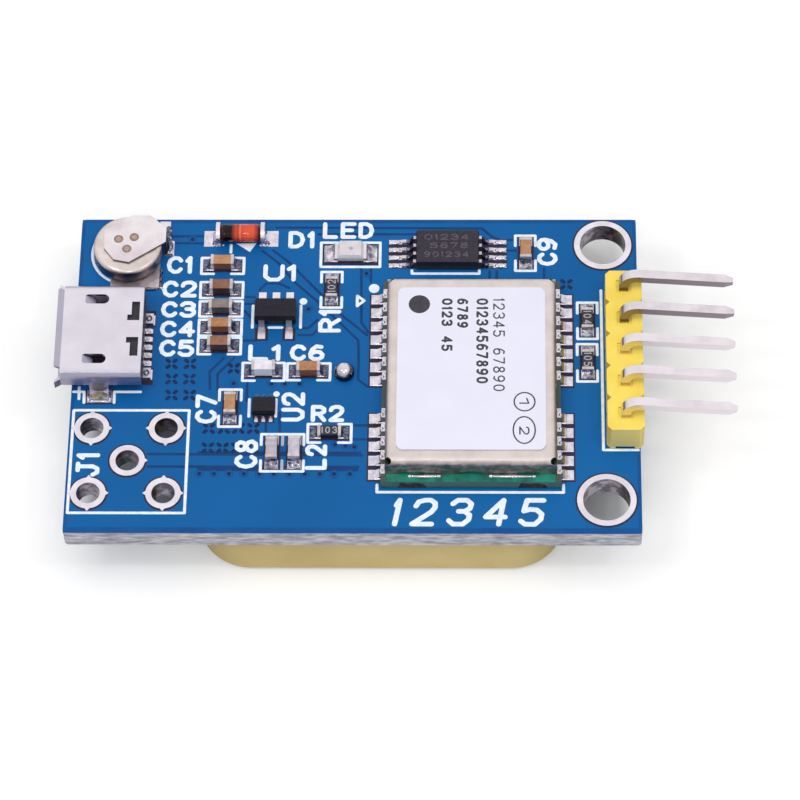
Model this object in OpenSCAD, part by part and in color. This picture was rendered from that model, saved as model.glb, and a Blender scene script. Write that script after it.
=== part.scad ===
// Satellite positioning module: a small circuit board that carries a shielded receiver, a USB socket,
// a backup cell, a pin header and small chips on top, and a ceramic patch antenna underneath.
// X runs left to right, Y front to back and Z up. The origin is the centre of the board in plan,
// on the flat radiating face of the antenna, which is the face that the module rests on.

/* [Main board] */
// Width of the board, left to right
board_w = 38.9; // [38.5:0.1:50]
// Depth of the board, front to back
board_d = 25.2; // [25:0.1:36]
// Thickness of the board
board_t = 1.6; // [0.8:0.1:2.4]
// Corner radius of the board
board_corner_r = 0.3; // [0.1:0.1:1]
// Thickness of the tinned copper on the board and in its holes
plating_t = 0.06; // [0.03:0.01:0.1]

/* [Mounting holes] */
// Clear diameter of each mounting hole
mount_hole_d = 3.2; // [2.2:0.1:3.4]
// Diameter of the tinned ring round a mounting hole
mount_ring_d = 4.0; // [3.7:0.1:4.2]
// Distance of the hole centres from the right edge
mount_inset_right = 2.35; // [2.2:0.05:3]
// Distance of the back hole centre from the back edge
mount_inset_back = 2.15; // [2.1:0.05:3]
// Distance of the front hole centre from the front edge
mount_inset_front = 2.6; // [2.2:0.05:3]

/* [Antenna socket holes] */
// Spacing of the four corner holes, both ways
socket_pitch = 5.08; // [4.6:0.02:5.3]
// Clear diameter of the socket holes
socket_hole_d = 1.6; // [1:0.05:1.8]
// Diameter of the tinned ring round a socket hole
socket_ring_d = 2.4; // [2.1:0.05:2.5]
// Width of the copper spokes that join a ring to the ground copper
socket_spoke_w = 0.45; // [0.2:0.05:0.8]
// Length of a spoke beyond the ring
socket_spoke_l = 0.2; // [0.05:0.05:0.25]
// Distance of the centre hole from the left edge
socket_inset_left = 4.1; // [4.1:0.05:5]
// Centre hole from the board centre, to the back
socket_y = -7; // [-7.2:0.05:-6.8]

/* [Patch antenna] */
// Side of the ceramic block
antenna_side = 25; // [22:0.5:26]
// Thickness of the ceramic block
antenna_t = 4; // [2:0.5:6]
// Corner radius of the ceramic block
antenna_corner_r = 3.6; // [0.5:0.1:5]
// Antenna centre from the board centre, to the right
antenna_x = 1.8; // [1:0.1:2.6]
// Antenna centre from the board centre, to the back
antenna_y = 0.5; // [-0.5:0.1:0.6]
// Thickness of the fired silver on the ceramic
silver_t = 0.05; // [0.02:0.01:0.1]
// Side of the radiating patch
patch_side = 20; // [16:0.5:21.5]
// Leg of the two cut corners of the radiating patch
patch_cut = 2.2; // [1:0.1:4]
// Side of the adhesive tape between the antenna and the board
tape_side = 23; // [18:0.5:23.5]
// Thickness of the adhesive tape
tape_t = 0.25; // [0.1:0.05:0.5]
// Diameter of the feed pin
feed_d = 0.8; // [0.6:0.05:1]
// Gap all round the feed pin in the board and the tape
feed_clearance = 0.15; // [0.05:0.05:0.25]
// Feed pin from the board centre, to the right
feed_x = -0.76; // [-0.9:0.02:-0.6]
// Feed pin from the board centre, to the back
feed_y = -0.08; // [-0.3:0.02:0.1]
// Diameter of the head of the feed pin on the radiating face
feed_head_d = 2.2; // [1.4:0.1:3]
// Height of that head
feed_head_h = 0.4; // [0.2:0.05:0.8]
// Diameter of the solder ball on the end of the feed pin
feed_ball_d = 1.4; // [1.3:0.05:1.5]

/* [Receiver] */
// Receiver centre from the board centre, to the right
receiver_x = 7.96; // [7.9:0.02:8.1]
// Receiver centre from the board centre, to the back
receiver_y = -1.1; // [-1.3:0.05:-0.9]
// Width of the receiver's own board
receiver_w = 12.2; // [11.4:0.1:12.4]
// Length of the receiver's own board
receiver_l = 16; // [15.6:0.1:16.4]
// Thickness of the receiver's own board
receiver_board_t = 0.8; // [0.6:0.1:1]
// Height of the receiver with its shield
receiver_h = 2.4; // [2.2:0.1:3]
// Shield wall to the side edge of the receiver's board
shield_inset_x = 0.3; // [0.3:0.05:0.6]
// Shield wall to the end edge of the receiver's board
shield_inset_y = 0.6; // [0.4:0.05:1]
// Sheet thickness of the shield
shield_t = 0.2; // [0.1:0.05:0.25]
// Outer bend radius of the shield's folded edges
shield_bend_r = 0.5; // [0.35:0.05:0.7]
// Width of the gaps between the soldered feet of the shield
shield_gap_w = 1.5; // [0.8:0.1:1.8]
// Height of those gaps
shield_gap_h = 0.25; // [0.1:0.05:0.4]
// Border of bare shield at the sides of the label
label_margin_x = 0.75; // [0.6:0.05:1.5]
// Border of bare shield at the ends of the label
label_margin_y = 0.95; // [0.6:0.05:1.5]
// Corner radius of the label
label_corner_r = 0.5; // [0.2:0.1:1.5]
// Thickness of the label
label_t = 0.08; // [0.05:0.01:0.15]
// Pitch of the receiver's edge contacts
contact_pitch = 1.1; // [1:0.05:1.15]
// Width of an edge contact's pad
contact_w = 0.76; // [0.5:0.02:0.8]
// Reach of an edge contact's pad beyond the receiver's board
contact_reach = 0.85; // [0.6:0.05:0.85]
// Outermost contact centre to the end of the receiver's board
contact_end = 1; // [0.8:0.05:1.2]
// Radius of the half-round contact notches in the edge of the receiver's board
notch_r = 0.25; // [0.15:0.05:0.25]

/* [USB socket] */
// Socket centre from the board centre, to the back
usb_y = 2; // [1.9:0.05:2.2]
// Width of the metal shell
usb_w = 7.4; // [7:0.1:7.5]
// Height of the metal shell
usb_h = 2.45; // [2.3:0.05:2.8]
// Length of the metal shell without its lips
usb_l = 5.5; // [5:0.1:5.8]
// Sheet thickness of the shell
usb_wall = 0.25; // [0.15:0.05:0.3]
// Overhang of the mouth past the left edge of the board
usb_overhang = 0.6; // [0.4:0.05:0.9]
// Radius of the two upper corners of the shell
usb_corner_r = 0.6; // [0.4:0.05:0.9]
// Leg of the two slanted lower corners of the shell
usb_slant = 1.1; // [0.9:0.05:1.2]
// Length of the flared lips round the mouth
usb_lip_l = 0.4; // [0.2:0.05:0.5]
// How far the lips flare outwards
usb_lip_flare = 0.25; // [0.1:0.05:0.4]
// Width of a side tab of the shell
usb_tab_w = 1.3; // [1:0.1:1.7]
// Reach of a side tab's foot beyond the shell
usb_tab_reach = 0.65; // [0.4:0.05:0.7]
// Pitch of the five contacts
usb_pitch = 0.65; // [0.6:0.01:0.7]
// Width of a contact
usb_contact_w = 0.25; // [0.15:0.05:0.35]
// Thickness of a contact
usb_contact_t = 0.15; // [0.1:0.01:0.2]

/* [Backup cell] */
// Diameter of the coin cell
cell_d = 4.8; // [4.4:0.1:4.9]
// Height of the coin cell
cell_h = 1.4; // [1.2:0.1:2.1]
// Cell centre to the left edge of the board
cell_inset_left = 3.45; // [3.3:0.05:3.7]
// Cell centre to the back edge of the board
cell_inset_back = 3.1; // [2.9:0.05:3.2]
// Sheet thickness of the welded tabs
tab_t = 0.15; // [0.1:0.01:0.2]
// Width of the bottom tab
bottom_tab_w = 3.4; // [2.5:0.1:3.6]
// Gap between the bottom tab and the side tab of the USB socket
bottom_tab_gap = 0.45; // [0.2:0.05:0.6]

/* [Pin header] */
// Pitch of the pins
header_pitch = 2.54; // [2.5:0.01:2.6]
// Width of the housing
header_w = 2.5; // [2.3:0.05:2.6]
// Height of the housing
header_h = 2.5; // [2:0.1:3]
// Header centre from the board centre, to the back
header_y = 0.35; // [0:0.05:0.6]
// Pin row to the right edge of the board
header_inset = 1.05; // [0.9:0.05:1.1]
// Side of the square pins
pin_side = 0.64; // [0.5:0.01:0.66]
// Bend radius of the pins, at their centre line
pin_bend_r = 0.9; // [0.6:0.05:1.2]
// Straight length of a pin between the housing and its bend
pin_rise = 0.4; // [0.2:0.05:1.5]
// Straight length of a pin after its bend
pin_reach = 6.5; // [4:0.1:9]
// Angle by which the pins droop below level
pin_droop = 6; // [0:1:10]
// Length of the pin tails below the board
pin_tail = 1.2; // [0.8:0.1:2]
// Clear diameter of the plated pin holes
pin_hole_d = 1; // [0.95:0.01:1.2]
// Diameter of the tinned ring round a pin hole
pin_ring_d = 1.6; // [1.4:0.05:1.8]

/* [Two-terminal chips] */
// Length of a chip
chip_l = 1.6; // [1.4:0.05:1.7]
// Width of a chip
chip_w = 0.8; // [0.6:0.05:0.95]
// Height of a capacitor
capacitor_h = 0.8; // [0.5:0.05:1]
// Height of an inductor
inductor_h = 0.9; // [0.5:0.05:1.1]
// Height of a resistor
resistor_h = 0.45; // [0.35:0.05:0.6]
// Length of the tinned ends of a chip
chip_end_l = 0.2; // [0.15:0.05:0.5]
// Thickness of those tinned ends
chip_end_t = 0.03; // [0.02:0.01:0.06]
// Reach of a chip's pads beyond its ends
chip_pad_reach = 0.5; // [0.3:0.05:0.55]
// Share of a chip's height that the solder climbs
solder_climb = 0.6; // [0.3:0.05:0.9]

/* [Diode] */
// Length of the diode over its end caps
diode_l = 3.4; // [3:0.1:3.7]
// Diameter of the end caps
diode_cap_d = 1.5; // [1.3:0.05:1.7]
// Thickness of the end caps
diode_cap_t = 0.28; // [0.2:0.02:0.5]
// Diameter of the glass body
diode_glass_d = 1.25; // [1:0.05:1.3]
// Diameter of the metal studs inside the glass
diode_stud_d = 0.7; // [0.5:0.05:0.8]

/* [Light-emitting diode] */
// Length of the package
led_l = 2.2; // [1.8:0.05:2.4]
// Width of the package
led_w = 1.25; // [1:0.05:1.4]
// Thickness of its base
led_base_h = 0.35; // [0.2:0.05:0.5]
// Height of the moulded lens above the base
led_lens_h = 0.45; // [0.3:0.05:0.8]
// Length of its terminals
led_terminal_l = 0.2; // [0.15:0.05:0.5]

/* [Regulator] */
// Length of the moulded body
regulator_l = 2.9; // [2.7:0.05:3.1]
// Depth of the moulded body
regulator_d = 1.6; // [1.4:0.05:1.7]
// Height of the package
regulator_h = 1.1; // [0.9:0.05:1.3]
// Pitch of its leads
regulator_pitch = 0.95; // [0.9:0.01:1]
// Depth over the lead tips
regulator_span = 2.8; // [2.6:0.05:3]

/* [Memory chip] */
// Length of the moulded body, left to right
memory_l = 4.4; // [4:0.1:4.6]
// Depth of the moulded body
memory_d = 2.8; // [2.4:0.1:3]
// Height of the package
memory_h = 1; // [0.8:0.05:1.2]
// Pitch of its leads
memory_pitch = 0.65; // [0.6:0.01:0.7]
// Length over the lead tips
memory_span = 6.4; // [6.2:0.1:6.8]

/* [Amplifier] */
// Length of the moulded body
amplifier_l = 1.6; // [1.4:0.05:1.7]
// Depth of the moulded body
amplifier_d = 1.25; // [1.1:0.05:1.4]
// Height of the package
amplifier_h = 0.6; // [0.5:0.05:0.8]
// Pitch of its leads
amplifier_pitch = 0.5; // [0.45:0.01:0.55]
// Depth over the lead tips
amplifier_span = 1.65; // [1.6:0.05:1.9]

/* [Hidden] */
$fn = 48;

// Length by which a cut runs past the faces that it opens
cut = 1;

// Edges of the board
left = -board_w / 2;
right = board_w / 2;
back = board_d / 2;
front = -board_d / 2;

// Levels, from the face that the module rests on
ceramic_z = silver_t;
tape_z = ceramic_z + antenna_t + silver_t;
board_z = tape_z + tape_t;
board_top = board_z + board_t;
seat_z = board_top + plating_t;

// Centres of the plated holes
mount_x = right - mount_inset_right;
mount_ys = [back - mount_inset_back, front + mount_inset_front];
socket_x = left + socket_inset_left;
socket_corners = [for (x = [-1, 1], y = [-1, 1]) [x * socket_pitch / 2, y * socket_pitch / 2]];
header_x = right - header_inset;
pin_count = 5;
pin_ys = [for (i = [0:pin_count - 1]) header_y + ((pin_count - 1) / 2 - i) * header_pitch];

// Centre and turn of each two-terminal chip. The row along the back is placed from the back edge,
// and the last two resistors stand beside the header.
capacitor_at = [
    [-9.42, back - 3.85, 0],
    [-9.42, back - 5.88, 0],
    [-9.42, back - 7.45, 0],
    [-9.42, back - 9, 0],
    [-9.42, back - 10.48, 0],
    [-3.22, 0.08, 0],
    [-8.5, -2.84, 90],
    [-5.56, -6.36, 90],
    [11.72, back - 2.83, 90]
];
inductor_at = [
    [-6.3, 0.08, 0],
    [-4.03, -6.36, 90]
];
header_resistor_inset = 3.5;
resistor_at = [
    [-1.77, back - 5.85, 90],
    [-1.68, -4.83, 0],
    [right - header_resistor_inset, 4.22, 90],
    [right - header_resistor_inset, 0.82, 90]
];

// Centres of the other packages
diode_at = [-8.2, back - 1.65, 0];
led_at = [-0.5, back - 2.9, 0];
regulator_at = [-5.6, 4.6, 0];
memory_at = [6.27, back - 2.9, 0];
amplifier_at = [-6.21, -2.88, 0];

// Receiver: its levels, its shield and the places of its edge contacts from its own centre
receiver_at = [receiver_x, receiver_y, 0];
receiver_board_top = seat_z + receiver_board_t;
shield_w = receiver_w - 2 * shield_inset_x;
shield_l = receiver_l - 2 * shield_inset_y;
shield_h = receiver_h - receiver_board_t;
shield_top = receiver_board_top + shield_h;
back_contacts = 7;
front_contacts = 5;
contact_row = receiver_l / 2 - contact_end;
contact_ys = concat(
    [for (i = [0:back_contacts - 1]) contact_row - i * contact_pitch],
    [for (i = [0:front_contacts - 1]) -contact_row + i * contact_pitch]
);
contact_under = 0.5;

// USB socket: its mouth, and the features of its shell from the mouth and the centre line
usb_at = [left - usb_overhang, usb_y, 0];
usb_slot_start = 1.35;
usb_slot_l = 1.75;
usb_slot_w = 0.75;
usb_slot_y = 2.4;
usb_finger_w = 0.6;
usb_finger_l = 0.8;
usb_finger_dip = 0.45;
usb_lock_y = 0.68;
usb_lock_l = 1.5;
usb_lock_w = 0.55;
usb_lock_foot = 0.28;
usb_lock_foot_l = 0.45;
usb_lock_edge = 0.25;
usb_tab_x = 2.55;
usb_rear_foot_w = 0.8;
usb_rear_foot_l = 0.5;
usb_rear_foot_y = usb_w / 2 - usb_slant - usb_rear_foot_w / 2;
usb_block_l = 1.5;
usb_tongue_w = 3.7;
usb_tongue_t = 0.6;
usb_tongue_l = 2.9;
usb_tongue_z = 0.95;
usb_contact_foot = 0.4;
usb_contact_set = 0.4;
usb_contact_gap = 0.1;
usb_contacts = 5;
usb_contact_ys = [for (i = [0:usb_contacts - 1]) (i - (usb_contacts - 1) / 2) * usb_pitch];

// Backup cell: its centre, its crimped edge and its tabs
cell_at = [left + cell_inset_left, back - cell_inset_back, 0];
cell_cap_set = 0.45;
cell_crimp = 0.2;
cell_crimp_z = 0.2;
cell_edge_r = 0.35;
bottom_tab_shift = 0.5;
bottom_tab_reach = cell_at[1] - usb_y - usb_w / 2 - usb_tab_reach - bottom_tab_gap;
bottom_tab_under = 0.5;
top_tab_gap = 0.12;
top_tab_leg_x = cell_d / 2 + top_tab_gap;
top_tab_leg_w = 1.1;
top_tab_leg_y = 0.65;
top_tab_foot = 0.35;
top_tab_front = [[-1.62, -0.41], [-0.92, -1.36], [0.16, -1.59]];
top_tab_back = [[1.54, 2.29], [0.21, 2.29], [-1.65, 1.07]];

// Pads: their border round a part, and their reach beyond it
pad_border = 0.1;
usb_tab_border = 0.4;
led_pad_reach = 0.75;
diode_pad_reach = 0.9;
diode_pad_w = 1.3;
regulator_pad_reach = 0.5;
memory_pad_reach = 0.9;
amplifier_pad_reach = 0.25;

// Moulded packages: the slope of their sides, the gap under them, and their leads
body_slope = 0.08;
body_lift = 0.08;
lead_t = 0.13;
lead_shoulder = 0.45;
regulator_lead_w = 0.42;
regulator_foot = 0.4;
memory_lead_w = 0.25;
memory_foot = 0.6;
memory_leads_a_side = 4;
amplifier_lead_w = 0.25;

// Glass diode: the round ends of its glass, and the gap between its studs
diode_glass_edge = 0.25;
diode_stud_gap = 0.1;
diode_glass_l = diode_l - 2 * diode_cap_t;

// Slope of the ends of the light-emitting diode's lens
led_lens_slope = 0.15;

// Header: corner cuts of its links, pockets round the pins, channel underneath, pin tips and solder
link_cut = 0.28;
pocket_side = 1;
pocket_depth = 0.15;
channel_w = 1.3;
channel_depth = 0.25;
pin_tip_l = 0.6;
pin_tip_side = 0.35;
header_solder_h = 0.7;
header_solder_tip_d = 1.5 * pin_side;

// Antenna: bare border and pin clearance of the ground film, tape corners, and the soldered pin end
ground_margin = 0.5;
least_corner_r = 0.1;
ground_hole_d = 3;
tape_corner_r = 2.5;
feed_stub = 0.4;
feed_ball_lift = 0.25;

// Pieces under the receiver's shield: their sizes, and their centres from the receiver's centre
rf_chip_at = [0.6, 1.8];
rf_chip_side = 5;
rf_chip_h = 0.85;
oscillator_at = [-3.2, -3.6];
oscillator_l = 2.5;
oscillator_w = 2;
oscillator_base_h = 0.5;
oscillator_h = 0.8;
oscillator_rim = 0.15;
filter_at = [2.6, -4.6];
filter_l = 1.4;
filter_w = 1.1;
filter_h = 0.5;
passive_xs = [-0.6, 0.6, 1.8];
passive_ys = [-3, -1.8];
passive_l = 1;
passive_w = 0.5;

// Shield: the round relief hole of a folded corner, and the gaps between its feet along a side and an end
shield_relief_d = 0.5;
side_gaps = 4;
end_gaps = 3;
end_gap_pitch = shield_w / end_gaps;

// Every two-terminal chip with its height
all_chips = concat(
    [for (at = capacitor_at) [at, capacitor_h]],
    [for (at = inductor_at) [at, inductor_h]],
    [for (at = resistor_at) [at, resistor_h]]
);

// Names of the sub-parts
numbered_nodes = concat(
    [for (i = [1:pin_count]) str("header_pin_", i)],
    [for (i = [1:len(capacitor_at)]) str("capacitor_", i)],
    [for (i = [1:len(inductor_at)]) str("inductor_", i)],
    [for (i = [1:len(resistor_at)]) str("resistor_", i)]
);

// Shared shapes

// Puts its children at a place [x, y, turn] on the board's pads
module place(at) {
    translate([at[0], at[1], seat_z]) rotate(at[2]) children();
}

// A rectangle with round corners, about its centre
module rounded_rect(w, d, r) {
    square([w - 2 * r, d], center = true);
    square([w, d - 2 * r], center = true);
    for (x = [-1, 1], y = [-1, 1])
        translate([x * (w / 2 - r), y * (d / 2 - r)]) circle(r);
}

// A slot with round ends, along X from its left end
module round_slot(l, w) {
    translate([w / 2, -w / 2]) square([l - w, w]);
    for (x = [w / 2, l - w / 2]) translate([x, 0]) circle(w / 2);
}

// A box about the Z axis that stands on z = 0
module upright(w, d, h) {
    translate([-w / 2, -d / 2, 0]) cube([w, d, h]);
}

// The plating of one hole: a barrel with a ring on each face of the board
module plated_hole(hole_d, ring_d) {
    hole_r = hole_d / 2;
    ring_r = ring_d / 2;
    rotate_extrude() polygon([
        [hole_r, board_z - plating_t], [ring_r, board_z - plating_t], [ring_r, board_z],
        [hole_r + plating_t, board_z], [hole_r + plating_t, board_top], [ring_r, board_top],
        [ring_r, seat_z], [hole_r, seat_z]
    ]);
}

// The drilled hole that takes that plating
module drilled_hole(hole_d) {
    translate([0, 0, board_z - cut]) cylinder(d = hole_d + 2 * plating_t, h = board_t + 2 * cut);
}

// A flat pad of tinned copper that spans x0 to x1 across the width w, from the board up
module pad(x0, x1, w) {
    translate([x0, -w / 2, -plating_t]) cube([x1 - x0, w, plating_t]);
}

// A hollow fillet of solder on a pad, rising against a face at x = 0 and running out along +X
module solder_fillet(reach, rise, w) {
    rotate([90, 0, 0]) translate([0, 0, -w / 2]) linear_extrude(w) polygon(concat(
        [[0, 0]], [for (a = [0:15:90]) [reach * (1 - sin(a)), rise * (1 - cos(a))]]
    ));
}

// A moulded chip package with sides that slope away from its parting line
module moulded_body(l, d, h, lift) {
    half = h / 2;
    intersection() {
        rotate([90, 0, 0]) translate([0, lift, -d]) linear_extrude(2 * d) polygon([
            [-l / 2 + body_slope, 0], [l / 2 - body_slope, 0], [l / 2, half],
            [l / 2 - body_slope, h], [-l / 2 + body_slope, h], [-l / 2, half]
        ]);
        rotate([90, 0, 90]) translate([0, lift, -l]) linear_extrude(2 * l) polygon([
            [-d / 2 + body_slope, 0], [d / 2 - body_slope, 0], [d / 2, half],
            [d / 2 - body_slope, h], [-d / 2 + body_slope, h], [-d / 2, half]
        ]);
    }
}

// A gull-wing lead that leaves a body at x = start and the height rise, and ends in a foot at x = tip
module gull_lead(start, tip, rise, t, foot, w) {
    knee = tip - foot;
    shoulder = start + (knee - start) * lead_shoulder;
    rotate([90, 0, 0]) translate([0, 0, -w / 2]) linear_extrude(w) polygon([
        [start, rise + t / 2], [shoulder, rise + t / 2], [knee + t / 2, t], [tip, t],
        [tip, 0], [knee - t / 4, 0], [shoulder - t / 2, rise - t / 2], [start, rise - t / 2]
    ]);
}

// Main board

module board() {
    color("royalblue") difference() {
        translate([0, 0, board_z]) linear_extrude(board_t) rounded_rect(board_w, board_d, board_corner_r);
        for (y = mount_ys) translate([mount_x, y, 0]) drilled_hole(mount_hole_d);
        translate([socket_x, socket_y, 0]) {
            drilled_hole(socket_hole_d);
            for (c = socket_corners) translate(c) drilled_hole(socket_hole_d);
        }
        for (y = pin_ys) translate([header_x, y, 0]) drilled_hole(pin_hole_d);
        feed_hole(feed_d + 2 * feed_clearance);
    }
}

module mounting_rings() {
    color("silver") for (y = mount_ys) translate([mount_x, y, 0]) plated_hole(mount_hole_d, mount_ring_d);
}

// A nub of copper on the top face that tapers to a point beyond a ring along +X
module ring_spoke() {
    inner = socket_hole_d / 2 + plating_t;
    ring_r = socket_ring_d / 2;
    half = socket_spoke_w / 2;
    shoulder = sqrt(ring_r * ring_r - half * half) - plating_t;
    translate([0, 0, board_top]) linear_extrude(plating_t) polygon([
        [inner, -half], [shoulder, -half], [ring_r + socket_spoke_l, 0], [shoulder, half], [inner, half]
    ]);
}

module plated_rings() {
    color("silver") {
        translate([socket_x, socket_y, 0]) {
            plated_hole(socket_hole_d, socket_ring_d);
            ring_spoke();
            for (c = socket_corners) translate(c) {
                plated_hole(socket_hole_d, socket_ring_d);
                for (turn = [0:90:270]) rotate(turn) ring_spoke();
            }
        }
        for (y = pin_ys) translate([header_x, y, 0]) plated_hole(pin_hole_d, pin_ring_d);
    }
}

// Pads and solder

// Repeats its children at both ends of a part
module both_ends() {
    children();
    rotate(180) children();
}

// The lead places of each package, with +X pointing out of the body
module regulator_sides() {
    for (i = [-1, 0, 1]) translate([i * regulator_pitch, 0, 0]) rotate(90) children();
    for (i = [-1, 1]) translate([i * regulator_pitch, 0, 0]) rotate(-90) children();
}

module memory_sides() {
    for (i = [0:memory_leads_a_side - 1])
        translate([0, (i - (memory_leads_a_side - 1) / 2) * memory_pitch, 0]) both_ends() children();
}

module amplifier_sides() {
    for (i = [-1, 0, 1]) translate([i * amplifier_pitch, 0, 0]) {
        rotate(90) children();
        rotate(-90) children();
    }
}

// The solder of one edge contact of the receiver: it fills the notch and runs out on the pad
module contact_solder() {
    solder_fillet(contact_reach, receiver_board_t * solder_climb, contact_w - pad_border);
    intersection() {
        cylinder(r = notch_r, h = receiver_board_t);
        translate([-notch_r, -notch_r, 0]) cube([notch_r, 2 * notch_r, receiver_board_t]);
    }
}

module component_pads() {
    color("gainsboro") {
        for (chip = all_chips) place(chip[0]) both_ends()
            pad(chip_l / 2 - chip_end_l, chip_l / 2 + chip_pad_reach, chip_w + pad_border);
        place(led_at) both_ends()
            pad(led_l / 2 - led_terminal_l, led_l / 2 + led_pad_reach, led_w + pad_border);
        place(diode_at) both_ends()
            pad(diode_l / 2 - diode_cap_t, diode_l / 2 + diode_pad_reach, diode_pad_w);
        place(regulator_at) regulator_sides()
            pad(regulator_span / 2 - regulator_foot, regulator_span / 2 + regulator_pad_reach,
                regulator_lead_w + pad_border);
        place(memory_at) memory_sides()
            pad(memory_span / 2 - memory_foot, memory_span / 2 + memory_pad_reach,
                memory_lead_w + pad_border);
        place(amplifier_at) amplifier_sides()
            pad(amplifier_d / 2, amplifier_span / 2 + amplifier_pad_reach, amplifier_lead_w);
        place(receiver_at) for (y = contact_ys) translate([0, y, 0]) both_ends()
            pad(receiver_w / 2 - contact_under, receiver_w / 2 + contact_reach, contact_w);
        place(usb_at) {
            for (y = usb_contact_ys) translate([0, y, 0])
                pad(usb_l, usb_l + usb_contact_foot + pad_border, usb_contact_w + pad_border);
            for (side = [-1, 1]) {
                translate([0, side * usb_rear_foot_y, 0])
                    pad(usb_l, usb_l + usb_rear_foot_l + pad_border, usb_rear_foot_w);
                translate([usb_tab_x, 0, 0]) rotate(side * 90)
                    pad(usb_w / 2 - usb_wall, usb_w / 2 + usb_tab_reach + pad_border,
                        usb_tab_w + usb_tab_border);
            }
        }
        place(cell_at) {
            translate([bottom_tab_shift, 0, 0]) rotate(-90)
                pad(0, bottom_tab_reach + pad_border, bottom_tab_w);
            translate([0, top_tab_leg_y, 0])
                pad(top_tab_leg_x, top_tab_leg_x + tab_t + top_tab_foot + pad_border,
                    top_tab_leg_w + pad_border);
        }
    }
}

module solder_fillets() {
    color("lightgray") {
        for (chip = all_chips) place(chip[0]) both_ends() translate([chip_l / 2, 0, 0])
            solder_fillet(chip_pad_reach, chip[1] * solder_climb, chip_w);
        place(led_at) both_ends() translate([led_l / 2, 0, 0])
            solder_fillet(led_pad_reach, led_base_h, led_w);
        place(diode_at) both_ends() translate([diode_l / 2, 0, 0])
            solder_fillet(diode_pad_reach, diode_cap_d / 2, diode_cap_d / 2);
        place(receiver_at) for (y = contact_ys) translate([0, y, 0]) both_ends()
            translate([receiver_w / 2, 0, 0]) contact_solder();
    }
}

// Patch antenna under the board

module antenna_outline(margin) {
    side = antenna_side - 2 * margin;
    translate([antenna_x, antenna_y])
        rounded_rect(side, side, max(antenna_corner_r - margin, least_corner_r));
}

// A round hole on the line of the feed pin, through everything
module feed_hole(d) {
    translate([feed_x, feed_y, -cut]) cylinder(d = d, h = seat_z + 2 * cut);
}

module antenna_patch() {
    half = patch_side / 2;
    color("gainsboro") difference() {
        translate([antenna_x, antenna_y, 0]) linear_extrude(silver_t) polygon([
            [-half + patch_cut, -half], [half, -half], [half, half - patch_cut],
            [half - patch_cut, half], [-half, half], [-half, -half + patch_cut]
        ]);
        feed_hole(feed_d);
    }
}

module antenna_ceramic() {
    color("burlywood") difference() {
        translate([0, 0, ceramic_z]) linear_extrude(antenna_t) antenna_outline(0);
        feed_hole(feed_d);
    }
}

module antenna_ground() {
    color("gainsboro") difference() {
        translate([0, 0, tape_z - silver_t]) linear_extrude(silver_t) antenna_outline(ground_margin);
        feed_hole(ground_hole_d);
    }
}

module antenna_tape() {
    color("ivory") difference() {
        translate([antenna_x, antenna_y, tape_z]) linear_extrude(tape_t)
            rounded_rect(tape_side, tape_side, tape_corner_r);
        feed_hole(feed_d + 2 * feed_clearance);
    }
}

// The feed pin has a low domed head on the radiating face and ends just above the board
module antenna_pin() {
    head_r = feed_head_d / 2;
    dome_r = (head_r * head_r + feed_head_h * feed_head_h) / (2 * feed_head_h);
    color("silver") translate([feed_x, feed_y, 0]) {
        cylinder(d = feed_d, h = board_top + feed_stub);
        intersection() {
            translate([0, 0, dome_r - feed_head_h]) sphere(dome_r);
            translate([0, 0, -feed_head_h]) cylinder(r = head_r, h = feed_head_h);
        }
    }
}

module feed_solder() {
    color("silver") difference() {
        intersection() {
            translate([feed_x, feed_y, board_top + feed_ball_lift]) sphere(d = feed_ball_d);
            translate([feed_x, feed_y, board_top]) cylinder(d = 2 * feed_ball_d, h = 2 * feed_ball_d);
        }
        translate([feed_x, feed_y, board_top - cut]) cylinder(d = feed_d, h = cut + feed_stub);
    }
}

// Receiver

// Puts its children on the receiver's own board, at a place from the receiver's centre
module on_receiver_board(at) {
    translate([receiver_x + at[0], receiver_y + at[1], receiver_board_top]) children();
}

module receiver_board() {
    color("seagreen") place(receiver_at) difference() {
        upright(receiver_w, receiver_l, receiver_board_t);
        for (x = [-1, 1], y = contact_ys)
            translate([x * receiver_w / 2, y, -cut]) cylinder(r = notch_r, h = receiver_board_t + 2 * cut);
    }
}

module receiver_chip() {
    color("dimgray") on_receiver_board(rf_chip_at) upright(rf_chip_side, rf_chip_side, rf_chip_h);
}

// A ceramic base with a slightly smaller metal lid
module receiver_oscillator() {
    color("goldenrod") on_receiver_board(oscillator_at) {
        upright(oscillator_l, oscillator_w, oscillator_base_h);
        upright(oscillator_l - 2 * oscillator_rim, oscillator_w - 2 * oscillator_rim, oscillator_h);
    }
}

module receiver_filter() {
    color("gray") on_receiver_board(filter_at) upright(filter_l, filter_w, filter_h);
}

module receiver_passives() {
    color("peru") for (x = passive_xs, y = passive_ys)
        on_receiver_board([x, y]) upright(passive_w, passive_l, passive_w);
}

// A slab whose two upper edges along Y are rounded
module rounded_slab(w, l, h, r) {
    rotate([90, 0, 0]) translate([0, 0, -l / 2]) linear_extrude(l) {
        translate([-w / 2, 0]) square([w, h - r]);
        translate([-w / 2 + r, 0]) square([w - 2 * r, h]);
        for (side = [-1, 1]) translate([side * (w / 2 - r), h - r]) circle(r);
    }
}

// The shield's outer form, or its hollow where the sheet is taken off all round
module shield_form(sheet, h) {
    w = shield_w - 2 * sheet;
    l = shield_l - 2 * sheet;
    r = shield_bend_r - sheet;
    intersection() {
        rounded_slab(w, l, h, r);
        rotate(90) rounded_slab(l, w, h, r);
    }
}

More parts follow.
